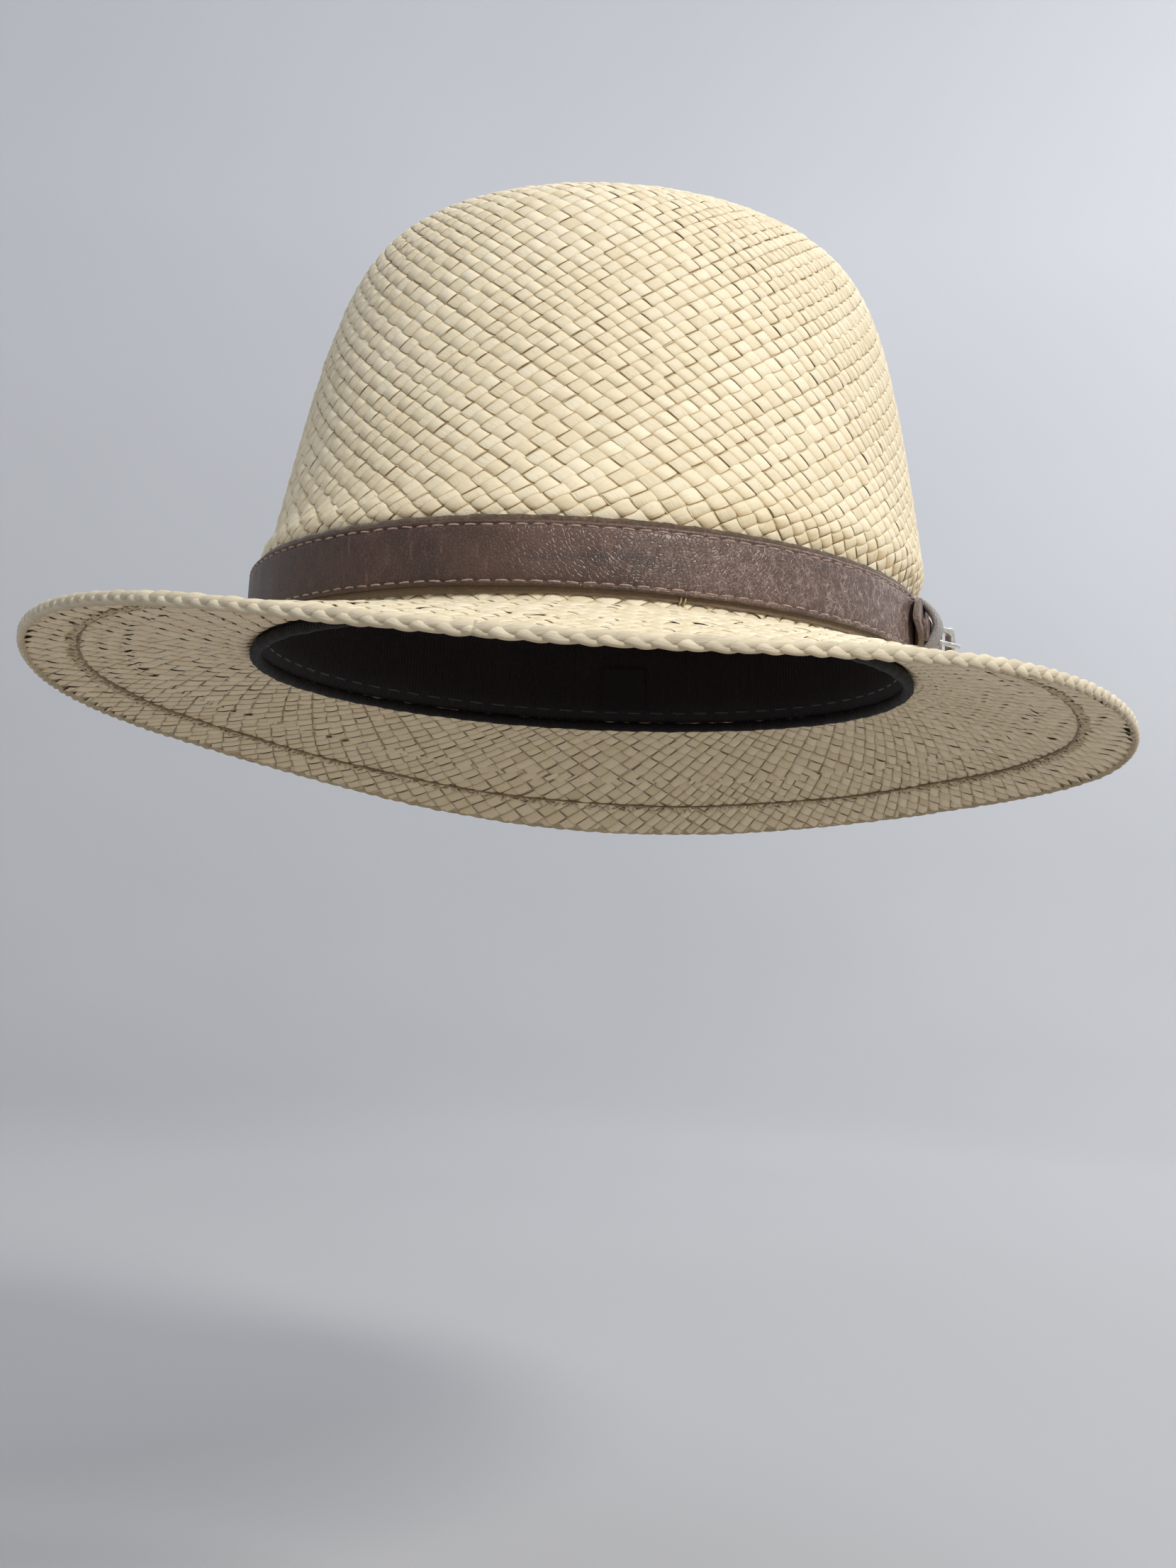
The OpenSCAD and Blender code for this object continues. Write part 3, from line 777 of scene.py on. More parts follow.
class Shader:
    """A material with one Principled surface, and shorthands for the nodes that feed it"""

    def __init__(self, name):
        self.material = bpy.data.materials.new(name)
        self.material.use_nodes = True
        self.tree = self.material.node_tree
        self.tree.nodes.clear()
        output = self.node("ShaderNodeOutputMaterial")
        self.surface = self.node("ShaderNodeBsdfPrincipled")
        self.feed(output.inputs[0], self.surface.outputs[0])
        self.position = self.node("ShaderNodeTexCoord").outputs["Object"]

    def feed(self, socket, value):
        """Link a socket's value, or set it; colours are given without alpha"""
        if isinstance(value, bpy.types.NodeSocket):
            self.tree.links.new(value, socket)
        elif socket.type == "RGBA":
            socket.default_value = (*value, 1)
        else:
            socket.default_value = value

    def node(self, kind, inputs=None, **settings):
        node = self.tree.nodes.new(kind)
        for key, value in settings.items():
            setattr(node, key, value)
        for key, value in (inputs or {}).items():
            self.feed(node.inputs[key], value)
        return node

    def noise(self, vector, scale, detail=2.0, roughness=0.5, dimensions="3D", output="Fac"):
        return self.node("ShaderNodeTexNoise",
                         {"Vector": vector, "Scale": scale, "Detail": detail,
                          "Roughness": roughness}, noise_dimensions=dimensions).outputs[output]

    def cell_edges(self, vector, scale):
        """Distance to the nearest edge between Voronoi cells"""
        return self.node("ShaderNodeTexVoronoi", {"Vector": vector, "Scale": scale},
                         feature="DISTANCE_TO_EDGE").outputs["Distance"]

    def scaled(self, vector, scale):
        return self.node("ShaderNodeMapping", {"Vector": vector, "Scale": scale}).outputs[0]

    def axis_range(self, vector, axis, start, end):
        """0 to 1 as one axis of the vector runs from start to end"""
        parts = self.node("ShaderNodeSeparateXYZ", {0: vector})
        return self.node("ShaderNodeMapRange", {"Value": parts.outputs[axis],
                                                "From Min": start, "From Max": end}).outputs[0]

    def ramp(self, value, stops):
        node = self.node("ShaderNodeValToRGB", {0: value})
        elements = node.color_ramp.elements
        elements.remove(elements[1])
        for i, (position, colour) in enumerate(stops):
            element = elements.new(position) if i else elements[0]
            element.position = position
            element.color = (*colour, 1)
        return node.outputs[0]

    def mask(self, value, start, end):
        return self.ramp(value, [(start, BLACK), (end, WHITE)])

    def fade(self, value, start, end):
        return self.ramp(value, [(start, WHITE), (end, BLACK)])

    def mix(self, factor, a, b, blend="MIX"):
        # a colour mix uses sockets 0, 6, 7 and result 2
        return self.node("ShaderNodeMix", {0: factor, 6: a, 7: b},
                         data_type="RGBA", blend_type=blend).outputs[2]

    def math(self, operation, a, b):
        return self.node("ShaderNodeMath", {0: a, 1: b}, operation=operation).outputs[0]

    def times(self, a, b):
        return self.math("MULTIPLY", a, b)

    def plus(self, a, b):
        return self.math("ADD", a, b)

    def tint(self, colour, mask, amount, towards):
        return self.mix(self.times(mask, amount), colour, towards)

    def finish(self, inputs, height=None, bump=0.0, strength=1.0):
        """Feed the surface; bump is the relief of height in metres"""
        for key, value in inputs.items():
            self.feed(self.surface.inputs[key], value)
        if height is not None:
            relief = self.node("ShaderNodeBump", {"Height": height, "Distance": bump,
                                                  "Strength": strength})
            self.feed(self.surface.inputs["Normal"], relief.outputs[0])
        return self.material


def brighter(colour, factor):
    return tuple(min(1, x * factor) for x in colour)


def mottled_material(name, dark, light, noise_scale, roughness, bump, noise_roughness=0.6,
                     strength=1.0):
    """Two colours mixed by one noise, which also makes the relief"""
    shader = Shader(name)
    noise = shader.noise(shader.position, noise_scale, 3, noise_roughness)
    return shader.finish({"Base Color": shader.ramp(noise, [(0.3, dark), (0.7, light)]),
                          "Roughness": roughness}, noise, bump, strength)


# ---------------------------------------------------------------- straw materials
def straw_material(name, light, dark, tan):
    """The "straw" attribute holds tint, fleck, depth in the weave (from which shade is painted)
    and strength of the grain
    """
    shader = Shader(name)
    straw = shader.node("ShaderNodeAttribute", attribute_name="straw")
    tint, fleck, depth = shader.node("ShaderNodeSeparateColor",
                                     {0: straw.outputs["Color"]}).outputs
    uv = shader.node("ShaderNodeUVMap", uv_map="StrawUV").outputs[0]
    fine = shader.noise(shader.scaled(uv, (26, 3.2, 1)), 1.0, 3, 0.6, "2D")
    broad = shader.noise(shader.scaled(uv, (5, 0.7, 1)), 1.0, 2, 0.5, "2D")
    patches = shader.noise(shader.position, 26, 3, 0.55)
    spots = shader.noise(shader.position, 900, 2, 0.6)

    colour = shader.mix(tint, light, dark)
    colour = shader.tint(colour, fleck, 0.24, tan)
    colour = shader.tint(colour, shader.fade(fine, 0.35, 0.62), 0.22, tan)
    colour = shader.tint(colour, shader.mask(patches, 0.40, 0.75), 0.20, dark)
    colour = shader.tint(colour, shader.mask(spots, 0.66, 0.78), 0.35, (0.30, 0.20, 0.10))
    # painted shade: darker where a strand dives under its neighbours and at its rims
    painted_hollow_shade = shader.ramp(depth, [(0.0, (0.66, 0.57, 0.43)), (0.35, (0.88, 0.83, 0.73)),
                                  (0.75, WHITE)])
    colour = shader.mix(1.0, colour, painted_hollow_shade, "MULTIPLY")
    # faces that look down are painted darker and browner: painted shade under the brim and in the
    # crown, deepest in the weave's hollows
    normal = shader.node("ShaderNodeNewGeometry").outputs["Normal"]
    downward = shader.axis_range(normal, "Z", -0.30, -0.75)
    painted_underside_shade = shader.ramp(depth, [(0.0, (0.36, 0.27, 0.17)), (0.50, (0.80, 0.70, 0.57)),
                                     (0.92, (0.95, 0.84, 0.72))])
    colour = shader.mix(downward, colour, shader.mix(1.0, colour, painted_underside_shade, "MULTIPLY"))

    grain = shader.plus(shader.times(straw.outputs["Alpha"], 0.9), 0.25)
    height = shader.plus(shader.times(fine, grain), shader.times(broad, 0.5))
    return shader.finish({"Base Color": colour,
                          "Roughness": shader.plus(shader.times(broad, 0.22), 0.38),
                          "Specular IOR Level": 0.42, "Sheen Weight": 0.08},
                         height, bump=0.00022, strength=0.8)


straw_body = straw_material("straw_weave", light=(0.86, 0.785, 0.60), dark=(0.78, 0.69, 0.49),
                            tan=(0.66, 0.54, 0.34))
straw_edge = straw_material("straw_edge", light=(0.75, 0.68, 0.525), dark=(0.66, 0.58, 0.415),
                            tan=(0.55, 0.455, 0.30))
# dark brown ply: painted shade seen through gaps in the weave
ply_shade_brown = mottled_material("straw_shade_ply", dark=(0.34, 0.25, 0.15), light=(0.56, 0.45, 0.29),
                             noise_scale=700, roughness=0.8, bump=0.0002)
groove_brown = mottled_material("back_weave_groove", dark=(0.15, 0.088, 0.045),
                                light=(0.34, 0.225, 0.12), noise_scale=420, roughness=0.7,
                                bump=0.0002)


def dress(ob, material, slot, replaced=(), body="hat"):
    """Give a piece its material, the body it rides on and what it replaces; slot is not used"""
    ob.data.materials.append(material)
    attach(ob, body)
    if replaced:
        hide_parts(*replaced)


for piece in crown_parts + brim_parts + [crown_top, crown_knot]:
    dress(piece, straw_body, "straw")
dress(straw_shade_ply, ply_shade_brown, "straw")
dress(back_ends, straw_body, "straw")
dress(back_line, groove_brown, "straw")
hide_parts("straw_body")
dress(rim_cord, straw_edge, "straw_cord", ["rim_braid"])


# ---------------------------------------------------------------- band backing
def smooth_noise(angles, seed, waves, size):
    rng = np.random.default_rng(seed)
    total = 0
    for n in waves:
        total = total + (rng.normal(0, 1) * np.sin(n * angles + rng.uniform(0, TAU))
                         / len(waves) ** 0.5)
    return total * size


def backing():
    """Backing strip under the strap, cut roughly"""
    count = 720
    angles = np.linspace(0, TAU, count, endpoint=False)
    inner, outer, top, foot = BACKING_IN, BACKING_OUT, BAND_Z1, BAND_Z0
    profile = np.array([
        (inner, foot + 0.2), (inner, top - 0.2), (0.25, top - 0.04), (0.5, top),
        (0.82, top - 0.05), (outer, top - 0.22), (outer, top - 1.0), (outer, 10),
        (outer, foot + 1.2), (outer, foot + 0.24), (0.84, foot + 0.06), (0.5, foot),
        (0.25, foot + 0.05)])
    offset = np.zeros((count, len(profile), 2))
    upper = RNG.normal(0, 0.055, count) + smooth_noise(angles, 3, (5, 11, 31, 67, 101), 0.09)
    lower = RNG.normal(0, 0.055, count) + smooth_noise(angles, 4, (4, 9, 33, 71, 113), 0.09)
    offset[:, [2, 3, 4], 1] = upper[:, None]
    offset[:, [10, 11, 12], 1] = lower[:, None]
    offset[:, [5, 9], 0] = RNG.normal(0, 0.035, (count, 2))
    offset[:, [4, 10], 0] = RNG.normal(0, 0.045, (count, 2))
    return loft("band_backing", angles, profile, offset)


def backing_fibres():
    """Loose hairs at the edges of the backing, three in four at the lower one"""
    run = np.linspace(0, 1, 5)
    cos, sin = circle(3)
    radius = (0.045 * (1 - 0.6 * run))[:, None]
    parts = []
    for i in range(620):
        low = i % 4 != 0
        angle = RNG.uniform(0, TAU)
        root = RNG.uniform(0.3, 0.95)
        length = RNG.uniform(0.5, 1.5) if low else RNG.uniform(0.3, 0.8)
        drift, spread = RNG.normal(0, 0.011), RNG.uniform(-0.1, 0.5)
        reach = length * (run - 0.35 * run * run)
        z = np.maximum(BAND_Z0 + 0.1 - reach, 1.15) if low else BAND_Z1 - 0.1 + reach
        path = at_band(root + spread * run ** 1.5, angle + drift * run * run, z)
        out = np.array([math.sin(angle), -math.cos(angle), 0])
        along = np.array([math.cos(angle), math.sin(angle), 0])
        parts.append(dict(verts=sweep(path, out, along, radius * cos, radius * sin),
                          faces=tube_faces(5, 3)))
    return merge("band_backing_fibres", parts)


band_back = backing()
band_fibres = backing_fibres()

# ---------------------------------------------------------------- strap and its stitches
STITCHES = 144                              # stitch pitches round the hat
STRAP_FROM, STRAP_TO = 40, 35               # the strap leaves these pitches to the buckle
STRAP_Z0, STRAP_Z1 = BAND_Z0 + STRAP_MARGIN, BAND_Z1 - STRAP_MARGIN
SEAM_BELOW, SEAM_ABOVE = STRAP_Z0 + 1.1, STRAP_Z1 - 1.1


def strap_profile():
    """[outward, z]: rounded edges, a channel under each seam, a slightly full face"""
    inner, outer, top, seam = STRAP_IN, STRAP_OUT, STRAP_Z1, SEAM_ABOVE
    upper = [
        (inner + 0.12, top - 0.1), (inner + 0.45, top), (outer - 0.62, top - 0.02),
        (outer - 0.28, top - 0.14), (outer - 0.08, top - 0.36), (outer, top - 0.62),
        (outer - 0.08, seam + 0.30), (outer - 0.20, seam + 0.12), (outer - 0.24, seam),
        (outer - 0.20, seam - 0.14), (outer - 0.04, seam - 0.50)]
    seam_gap = SEAM_ABOVE - SEAM_BELOW
    face = [(outer + 0.10 * math.sin(math.pi * (z - SEAM_BELOW) / seam_gap) ** 0.6, z)
            for z in np.linspace(SEAM_ABOVE - 1.1, SEAM_BELOW + 1.1, 9)]
    lower = [(out, 2 * BAND_MID_Z - z) for out, z in reversed(upper)]
    back = [(inner, STRAP_Z0 + 0.35), (inner, BAND_MID_Z), (inner, top - 0.35)]
    return np.array(back + upper + face + lower)


def strap():
    first = TAU * STRAP_FROM / STITCHES
    last = TAU * (STITCHES + STRAP_TO) / STITCHES
    count = (STITCHES + STRAP_TO - STRAP_FROM) * 8 + 1
    angles = np.linspace(first, last, count)
    profile = strap_profile()
    out, z = profile.T
    outer = out > STRAP_OUT - 0.5
    offset = np.zeros((count, len(profile), 2))

    def near(height, spread):
        return np.exp(-((z - height) / spread) ** 2)

    # the leather is pulled in at the stitch holes: 0 at a hole, 1 in mid-stitch
    between = np.abs(np.sin(math.pi * ((angles / TAU * STITCHES) % 1.0))) ** 0.7
    channel = near(SEAM_ABOVE, 0.34) + near(SEAM_BELOW, 0.34)
    edges = near(STRAP_Z1 - 0.5, 0.55) + near(STRAP_Z0 + 0.5, 0.55)
    offset[..., 0] += -0.20 * (1 - between)[:, None] * channel * outer
    offset[..., 0] += 0.07 * (between - 0.5)[:, None] * edges * outer
    face_wave = smooth_noise(angles, 21, (9, 17, 31, 47), 0.06)
    offset[..., 0] += face_wave[:, None] * near(10.5, 4.5) * outer
    upper_wave = smooth_noise(angles, 23, (6, 13, 27, 61), 0.05)
    lower_wave = smooth_noise(angles, 24, (5, 15, 29, 57), 0.05)
    offset[..., 1] += np.where(z > 10, upper_wave[:, None], lower_wave[:, None])
    # handling creases: shallow upright wrinkles, stronger at the sides of the hat
    for _ in range(150):
        crease = RNG.uniform(first, last)
        strength = 0.5 + 0.5 * math.sin(crease) ** 2
        width = RNG.uniform(0.0025, 0.006)
        middle, length = RNG.uniform(6, 15), RNG.uniform(1.5, 4.5)
        line = crease + (z - middle) * RNG.normal(0, 0.0022)
        shape = np.exp(-((angles[:, None] - line) / width) ** 2) * near(middle, length)
        offset[..., 0] += RNG.uniform(-0.075, 0.045) * strength * shape * outer
    return loft("band_outer_leather", angles, profile, offset, closed=False)


def band_stitches(name, z):
    """A row of twisted two-ply stitches round the strap"""
    run = np.linspace(0, 1, 9)
    sides = 8
    turn = np.linspace(0, TAU, sides, endpoint=False)
    cos, sin = circle(sides)
    twist = 1 + 0.16 * np.cos(2 * (turn - run[:, None] * 16))
    lift = np.sin(math.pi * run) ** 0.55
    parts = []
    for k in range(STITCHES):
        if STRAP_TO - 1 <= k <= STRAP_FROM:
            continue
        start, end = TAU * (k + 0.13) / STITCHES, TAU * (k + 0.87) / STITCHES
        angle = start + (end - start) * run
        out = STRAP_OUT - 0.46 + (0.34 + RNG.normal(0, 0.03)) * lift
        slant = RNG.normal(0, 0.07) * (run - 0.5) * 2 + RNG.normal(0, 0.05)
        radius = 0.2436 * (0.72 + 0.28 * lift) * RNG.uniform(0.9, 1.08)
        radius = radius[:, None] * twist
        parts.append(dict(
            verts=sweep(at_band(out, angle, z + slant), ellipse(1, 1, angle, 0), UP,
                        radius * cos * 0.8, radius * sin),
            faces=tube_faces(len(run), sides),
            uv=pack(np.arange(sides) / sides, run[:, None] + k)))
    return merge(name, parts)


def tacks():
    """Pairs of small stitches that hold the band to the straw"""
    run = np.linspace(0, 1, 9)
    threads = []
    for degrees in (22, 118, 205, 300):
        for shift in (-0.5, 0.45):
            angle = math.radians(degrees) + shift * 0.012
            path = at_band(0.25 + 1.05 * np.sin(math.pi * run) ** 0.7, angle + 0.008 * run,
                           0.9 + 3.0 * run)
            threads.append(tube("tack", path, 0.22, 7, closed=False,
                                up=np.array([math.cos(angle), math.sin(angle), 0.0])))
    return join(threads, "band_tack_threads")


band_outer = strap()
stitches_top = band_stitches("band_stitches_top", SEAM_ABOVE)
stitches_bottom = band_stitches("band_stitches_bottom", SEAM_BELOW)
tack_threads = tacks()

# ---------------------------------------------------------------- strap end at the buckle
TONGUE_HALF = 5.8 / 2
TONGUE_TIP_Y = -24.4                        # where the rounded end starts
PRONG_HALF = 1.1                            # half the height of the prong's slot
PRONG_SLOT = (-11.5, -0.8)                  # ends of the slot along y
TAB_HALF = 12.6 / 2
TAB_ROUND_Y, TAB_END_Y = -27.5, -34.5       # rounded free end of the tab


def side_angle(y):
    """Angle of the strap's face on the +X side at y"""
    return math.pi / 2 + np.arcsin(y / (HALF_LENGTH + STRAP_OUT))


def on_band(points):
    """Bend flat pieces to the band's curve away from the buckle's bar"""
    x, y, z = points[..., 0], points[..., 1], points[..., 2]
    curved = at_band(STRAP_OUT + (x - STRAP_FACE_X), side_angle(y), z)
    blend = ease((-9.0 - y) / 4.0)[..., None]
    return points * (1 - blend) + curved * blend


def tongue():
    """Tongue of the strap, with a slot for the prong and a spare hole"""
    ys = np.unique(np.round(np.concatenate([
        np.linspace(27.5, TONGUE_TIP_Y, 70), np.linspace(TONGUE_TIP_Y, -27.0, 9),
        [PRONG_SLOT[1], PRONG_SLOT[0]], np.linspace(-16.7, -18.3, 7)]), 4))[::-1]
    vs = np.array([-TONGUE_HALF, -2.3, -1.7, -PRONG_HALF, -0.55, 0,
                   0.55, PRONG_HALF, 1.7, 2.3, TONGUE_HALF])
    straight = 1.25                         # this half-height keeps its rows level

    def place(y, v, h):
        end = np.clip((TONGUE_TIP_Y - y) / 2.6, 0, 1)
        half = TONGUE_HALF * np.sqrt(np.maximum(0.02, 1 - 0.75 * end ** 2.2))
        size = np.abs(v)
        squeezed = straight + (size - straight) / (TONGUE_HALF - straight) * (half - straight)
        z = TONGUE_Z + np.sign(v) * np.where(size > straight, squeezed, size)
        swing = 5.7 * ease((14 - y) / 19) - 2.2 * ease((-9 - y) / 7)
        crowned = 0.12 * (1 - (v / TONGUE_HALF) ** 2)
        out = STRAP_OUT + swing - 1.4 * (1 - h) + np.where(h > 0.5, crowned - 0.1, 0)
        return at_band(out, side_angle(y), z)

    def keep(y, v):
        low, high = PRONG_SLOT
        rounding = np.sqrt(np.clip(np.minimum((y - low) / 0.9, (high - y) / 0.9), 0, 1))
        slot = (np.abs(v) < PRONG_HALF * rounding) & (y > low) & (y < high)
        hole = (np.abs(v) < 0.75) & (np.abs(y + 17.5) < 0.75)
        return ~(slot | hole)

    return plate("band_tongue", ys, vs, keep, place, bevel=0.24, segments=3)


def chape_tab():
    """Raw-edged tab whose rounded free end stands slightly off the band"""
    bend = np.sin(np.linspace(0, math.pi / 2, 14))[1:] * 0.999
    ys = np.concatenate([np.linspace(-9.5, TAB_ROUND_Y, 36),
                         TAB_ROUND_Y + (TAB_END_Y - TAB_ROUND_Y) * bend])

    def place(y, v, h):
        end = np.clip((TAB_ROUND_Y - y) / (TAB_ROUND_Y - TAB_END_Y), 0, 1)
        half = np.maximum(TAB_HALF * np.sqrt(np.maximum(0.0, 1 - end ** 2.2)), 0.35)
        z = BAND_MID_Z + v * half + 0.5 * end * end
        lift = 1.25 + 1.5 * ease((BAND_MID_Z + 1.5 - z) / 7.0)
        lift = lift * ease((-24.0 - y) / 10.5) + 0.12 * (np.abs(v) ** 4)
        crowned = np.where(h > 0.5, 0.30 * (1 - v * v) - 0.12, 0)
        return on_band(pack(STRAP_FACE_X + 0.1 + lift + 1.5 * h + crowned, y, z))

    def keep(y, v):
        return (np.abs(v * TAB_HALF + BAND_MID_Z - TONGUE_Z) < 2.8) | (y < -10.6)

    tab = plate("chape_tab", ys, np.linspace(-1, 1, 15), keep, place, bevel=0.22, segments=3)
    # roughen the raw upper and lower edges (in metres)
    verts = tab.data.vertices
    co = np.empty(len(verts) * 3, np.float32)
    verts.foreach_get("co", co)
    co = co.reshape(-1, 3)
    near_edge = np.abs(co[:, 2:3] - BAND_MID_Z * MM) > 0.0052
    co += RNG.normal(0, 0.00004, co.shape) * near_edge
    verts.foreach_set("co", co.ravel())

    folds = [lathe("fold", ring_profile(0.8, 1.6, z0, z1, 0.2), 28, BAR)
             for z0, z1 in ((-2.8, -1.2), (1.2, 2.8))]
    tab = join([tab] + folds, "chape_tab")
    fix_normals(tab)
    return tab


def chape_stitches():
    """Upright stitches through the tab beside the bar"""
    run = np.linspace(-1, 1, 9)
    threads = []
    for z in (-4.8, -2.4, 0, 2.4, 4.8):
        path = on_band(pack(STRAP_FACE_X + 1.62 + 0.28 * (1 - run * run) ** 0.5,
                            -11.3 + RNG.normal(0, 0.04), BAND_MID_Z + z + run * 0.85))
        threads.append(tube("chape_stitch", path, 0.24, 7, closed=False,
                            up=np.array([1.0, 0, 0])))
    return join(threads, "chape_stitches_thread")


def keeper():
    """Smooth rounded loop over the tongue, from its lower foot to its upper foot"""
    rows, sides = 33, 36
    half = 7.8 - 0.65
    run = np.linspace(0, 1, rows)
    climb = 0.5 - 0.5 * np.cos(math.pi * run)
    rise = np.clip(np.sin(math.pi * climb ** 1.10), 0, 1)
    hump = 1.9 * rise ** 0.35 + 3.2 * rise ** 1.1
    path = pack(STRAP_FACE_X + 0.1 + hump, -19.6, BAND_MID_Z - half + 2 * half * climb)
    cos, sin = circle(sides)
    across = np.array([0, 1.0, 0])
    taper, swell = 1 - 0.04 * np.sin(3 * run), 1.0 + 0.80 * np.sin(math.pi * run)
    verts = on_band(sweep(path, across, np.cross(across, tangents(path)),
                          signed_power(cos, 0.42) * 4.0 * taper[:, None],
                          signed_power(sin, 0.75) * 0.65 * swell[:, None]))
    ob = new_mesh("keeper", verts, tube_faces(rows, sides), corner_caps(rows, sides))
    fix_normals(ob)
    return ob


band_tongue = tongue()
chape = chape_tab()
chape_threads = chape_stitches()
keeper_loop = keeper()

# ---------------------------------------------------------------- metal buckle
# Built with its bar on the Z axis and its frame towards +Y, then set on the band


def at_bar(ob):
    place = Matrix.Translation(Vector(BAR) * MM) @ Matrix.Rotation(-BUCKLE_TILT, 4, "Z")
    ob.data.transform(place)
    return ob


def buckle_frame():
    half, reach, corner = 9.2 / 2 - 0.72, 12 - 1.05, 1.3
    arm = np.linspace(1.9, reach - corner, 6)
    turn = np.linspace(0, math.pi / 2, 8)
    inner_y, inner_z = reach - corner, half - corner
    outline = [(1.2, -half)] + [(y, -half) for y in arm]
    outline += [(inner_y + corner * math.sin(a), -inner_z - corner * math.cos(a))
                for a in turn[1:]]
    outline += [(reach + 0.06 * math.cos(z / inner_z * 1.57), z)
                for z in np.linspace(-inner_z, inner_z, 7)[1:-1]]
    outline += [(inner_y + corner * math.cos(a), inner_z + corner * math.sin(a)) for a in turn]
    outline += [(y, half) for y in arm[::-1][1:]] + [(1.2, half)]
    path = np.array([(0, y, z) for y, z in outline])
    rows, sides = len(path), 20
    cos, sin = circle(sides)
    outward = np.array([1.0, 0, 0])
    far = ease((path[:, 1:2] - 8.0) / 2.5)  # the far side is heavier
    verts = sweep(path, outward, np.cross(tangents(path), outward),
                  signed_power(cos, 0.42) * (0.9 + 0.28 * far),
                  signed_power(sin, 0.42) * (0.72 + 0.38 * far))
    body = new_mesh("frame", verts, tube_faces(rows, sides), corner_caps(rows, sides))
    eyes = [lathe("eye", ring_profile(0.76, 1.5, z0, z1, 0.22))
            for z0, z1 in ((-4.6, -3.2), (3.2, 4.6))]
    ob = join([body] + eyes, "buckle_frame_metal")
    fix_normals(ob)
    return at_bar(ob)


def buckle_bar():
    end = [(0.74, 4.5), (0.66, 4.62), (0.45, 4.70), (0.001, 4.72)]
    profile = [(radius, -z) for radius, z in reversed(end)]
    profile += [(0.74, z) for z in np.linspace(-4.4, 4.4, 9)] + end
    ob = at_bar(lathe("buckle_bar_metal", profile, 28))
    fix_normals(ob)
    return ob


def buckle_prong():
    # Centre line of the finger: x (off the band), y
    bends = np.array([(0.55, 1.0), (0.95, 1.6), (1.3, 2.6), (1.5, 4.2), (1.62, 6.2), (1.78, 8.2),
                      (1.98, 9.6), (2.12, 10.8), (2.10, 11.8), (1.95, 12.5), (1.78, 12.85)])
    rows, sides = 30, 16
    run = np.linspace(0, 1, rows)
    steps = np.linalg.norm(np.diff(bends, axis=0), axis=1)
    length = np.concatenate([[0], np.cumsum(steps)])
    path = pack(*(np.interp(run * length[-1], length, bends[:, i]) for i in range(2)), 0.0)
    tip = (1.02 - run) / 0.06
    half_height = 0.70 * (1 - 0.28 * ease((run - 0.55) / 0.45)) * np.sqrt(np.clip(tip, 0.1, 1))
    half_thick = 0.46 * (1 - 0.2 * run) * np.sqrt(np.clip(tip, 0.2, 1))
    cos, sin = circle(sides)
    verts = sweep(path, UP, np.cross(tangents(path), UP),
                  cos * half_height[:, None], sin * half_thick[:, None])
    body = new_mesh("finger", verts, tube_faces(rows, sides), corner_caps(rows, sides))
    eye = lathe("prong_eye", ring_profile(0.8, 1.42, -0.88, 0.88, 0.2))
    ob = join([body, eye], "buckle_prong_metal")
    fix_normals(ob)
    return at_bar(ob)


frame_metal = buckle_frame()
bar_metal = buckle_bar()
prong_metal = buckle_prong()

# ---------------------------------------------------------------- sweatband
SWEAT_STATIONS = 576
SWEAT_ANGLES = np.linspace(0, TAU, SWEAT_STATIONS, endpoint=False)
SWEAT_Z = np.array([-0.9, 0.3, 1.6, 3.2, 6, 10, 15, 19.2, 20.4, 23.7, 27, 30.3, 31.5, 32.0])
SWEAT_STITCHES, SWEAT_SEAM_Z = 72, 1.85


def foot_flare(z):
    """How far the sweatband's foot opens outwards, from 0 to 1"""
    return np.clip((3.6 - z) / 4.5, 0, 1) ** 1.6


def sweat_outside():
    """Outer face of the sweatband: inside the head oval, and inside the wall above the band"""
    scale = wall_scale(np.maximum(0, crown_level(SWEAT_Z)))
    wall = np.where(SWEAT_Z < BAND_Z1 + 1.3, 0, scale * (HALF_WIDTH + CROWN_BULGE) - HALF_WIDTH)
    return np.minimum(0, wall) - 1.85 + 2.15 * foot_flare(SWEAT_Z)


SWEAT_OUT = sweat_outside()


def sweatband():
    outer = np.c_[SWEAT_OUT, SWEAT_Z]
    top = SWEAT_Z > 31.6                    # the cloth is thinner at its upper edge
    inner = np.c_[SWEAT_OUT - np.where(top, 0.75, 1.0), SWEAT_Z - np.where(top, 0.05, 0)][::-1]
    profile = np.vstack([outer, [[SWEAT_OUT[-1] - 0.35, 32.12]], inner])
    inside = np.arange(len(profile)) > len(outer)
    z = profile[:, 1]
    offset = np.zeros((SWEAT_STATIONS, len(profile), 2))
    stitched = np.abs(np.mod(SWEAT_ANGLES / TAU * SWEAT_STITCHES, 1) - 0.5) < 0.16
    seam = np.exp(-((z - SWEAT_SEAM_Z) / 0.5) ** 2) * inside
    offset[..., 0] += 0.08 * (1 - stitched)[:, None] * seam
    wave = smooth_noise(SWEAT_ANGLES, 31, (7, 12, 23), 0.06)
    offset[..., 0] += wave[:, None] * (z > 5) * inside
    return loft("sweatband_cloth", SWEAT_ANGLES, profile, offset, lean=True)


REED_OUT, REED_Z, ROLL_RADIUS = -0.10, -2.45, 1.5


def reed_roll():
    """Tape rolled round the reed"""
    turn = np.linspace(math.radians(100), math.radians(440), 22)
    round_ = np.c_[np.cos(turn), np.sin(turn)]
    centre = np.array([REED_OUT, REED_Z])
    profile = np.vstack([centre + ROLL_RADIUS * round_,
                         (centre + (ROLL_RADIUS - 0.42) * round_)[::-1]])
    offset = np.zeros((SWEAT_STATIONS, len(profile), 2))
    bumps = (0.07 * np.sin(SWEAT_ANGLES * 96)
             + smooth_noise(SWEAT_ANGLES, 8, (5, 19, 41), 0.05))
    offset[:, :len(turn)] = bumps[:, None, None] * round_
    return loft("reed_tape_roll", SWEAT_ANGLES, profile, offset)


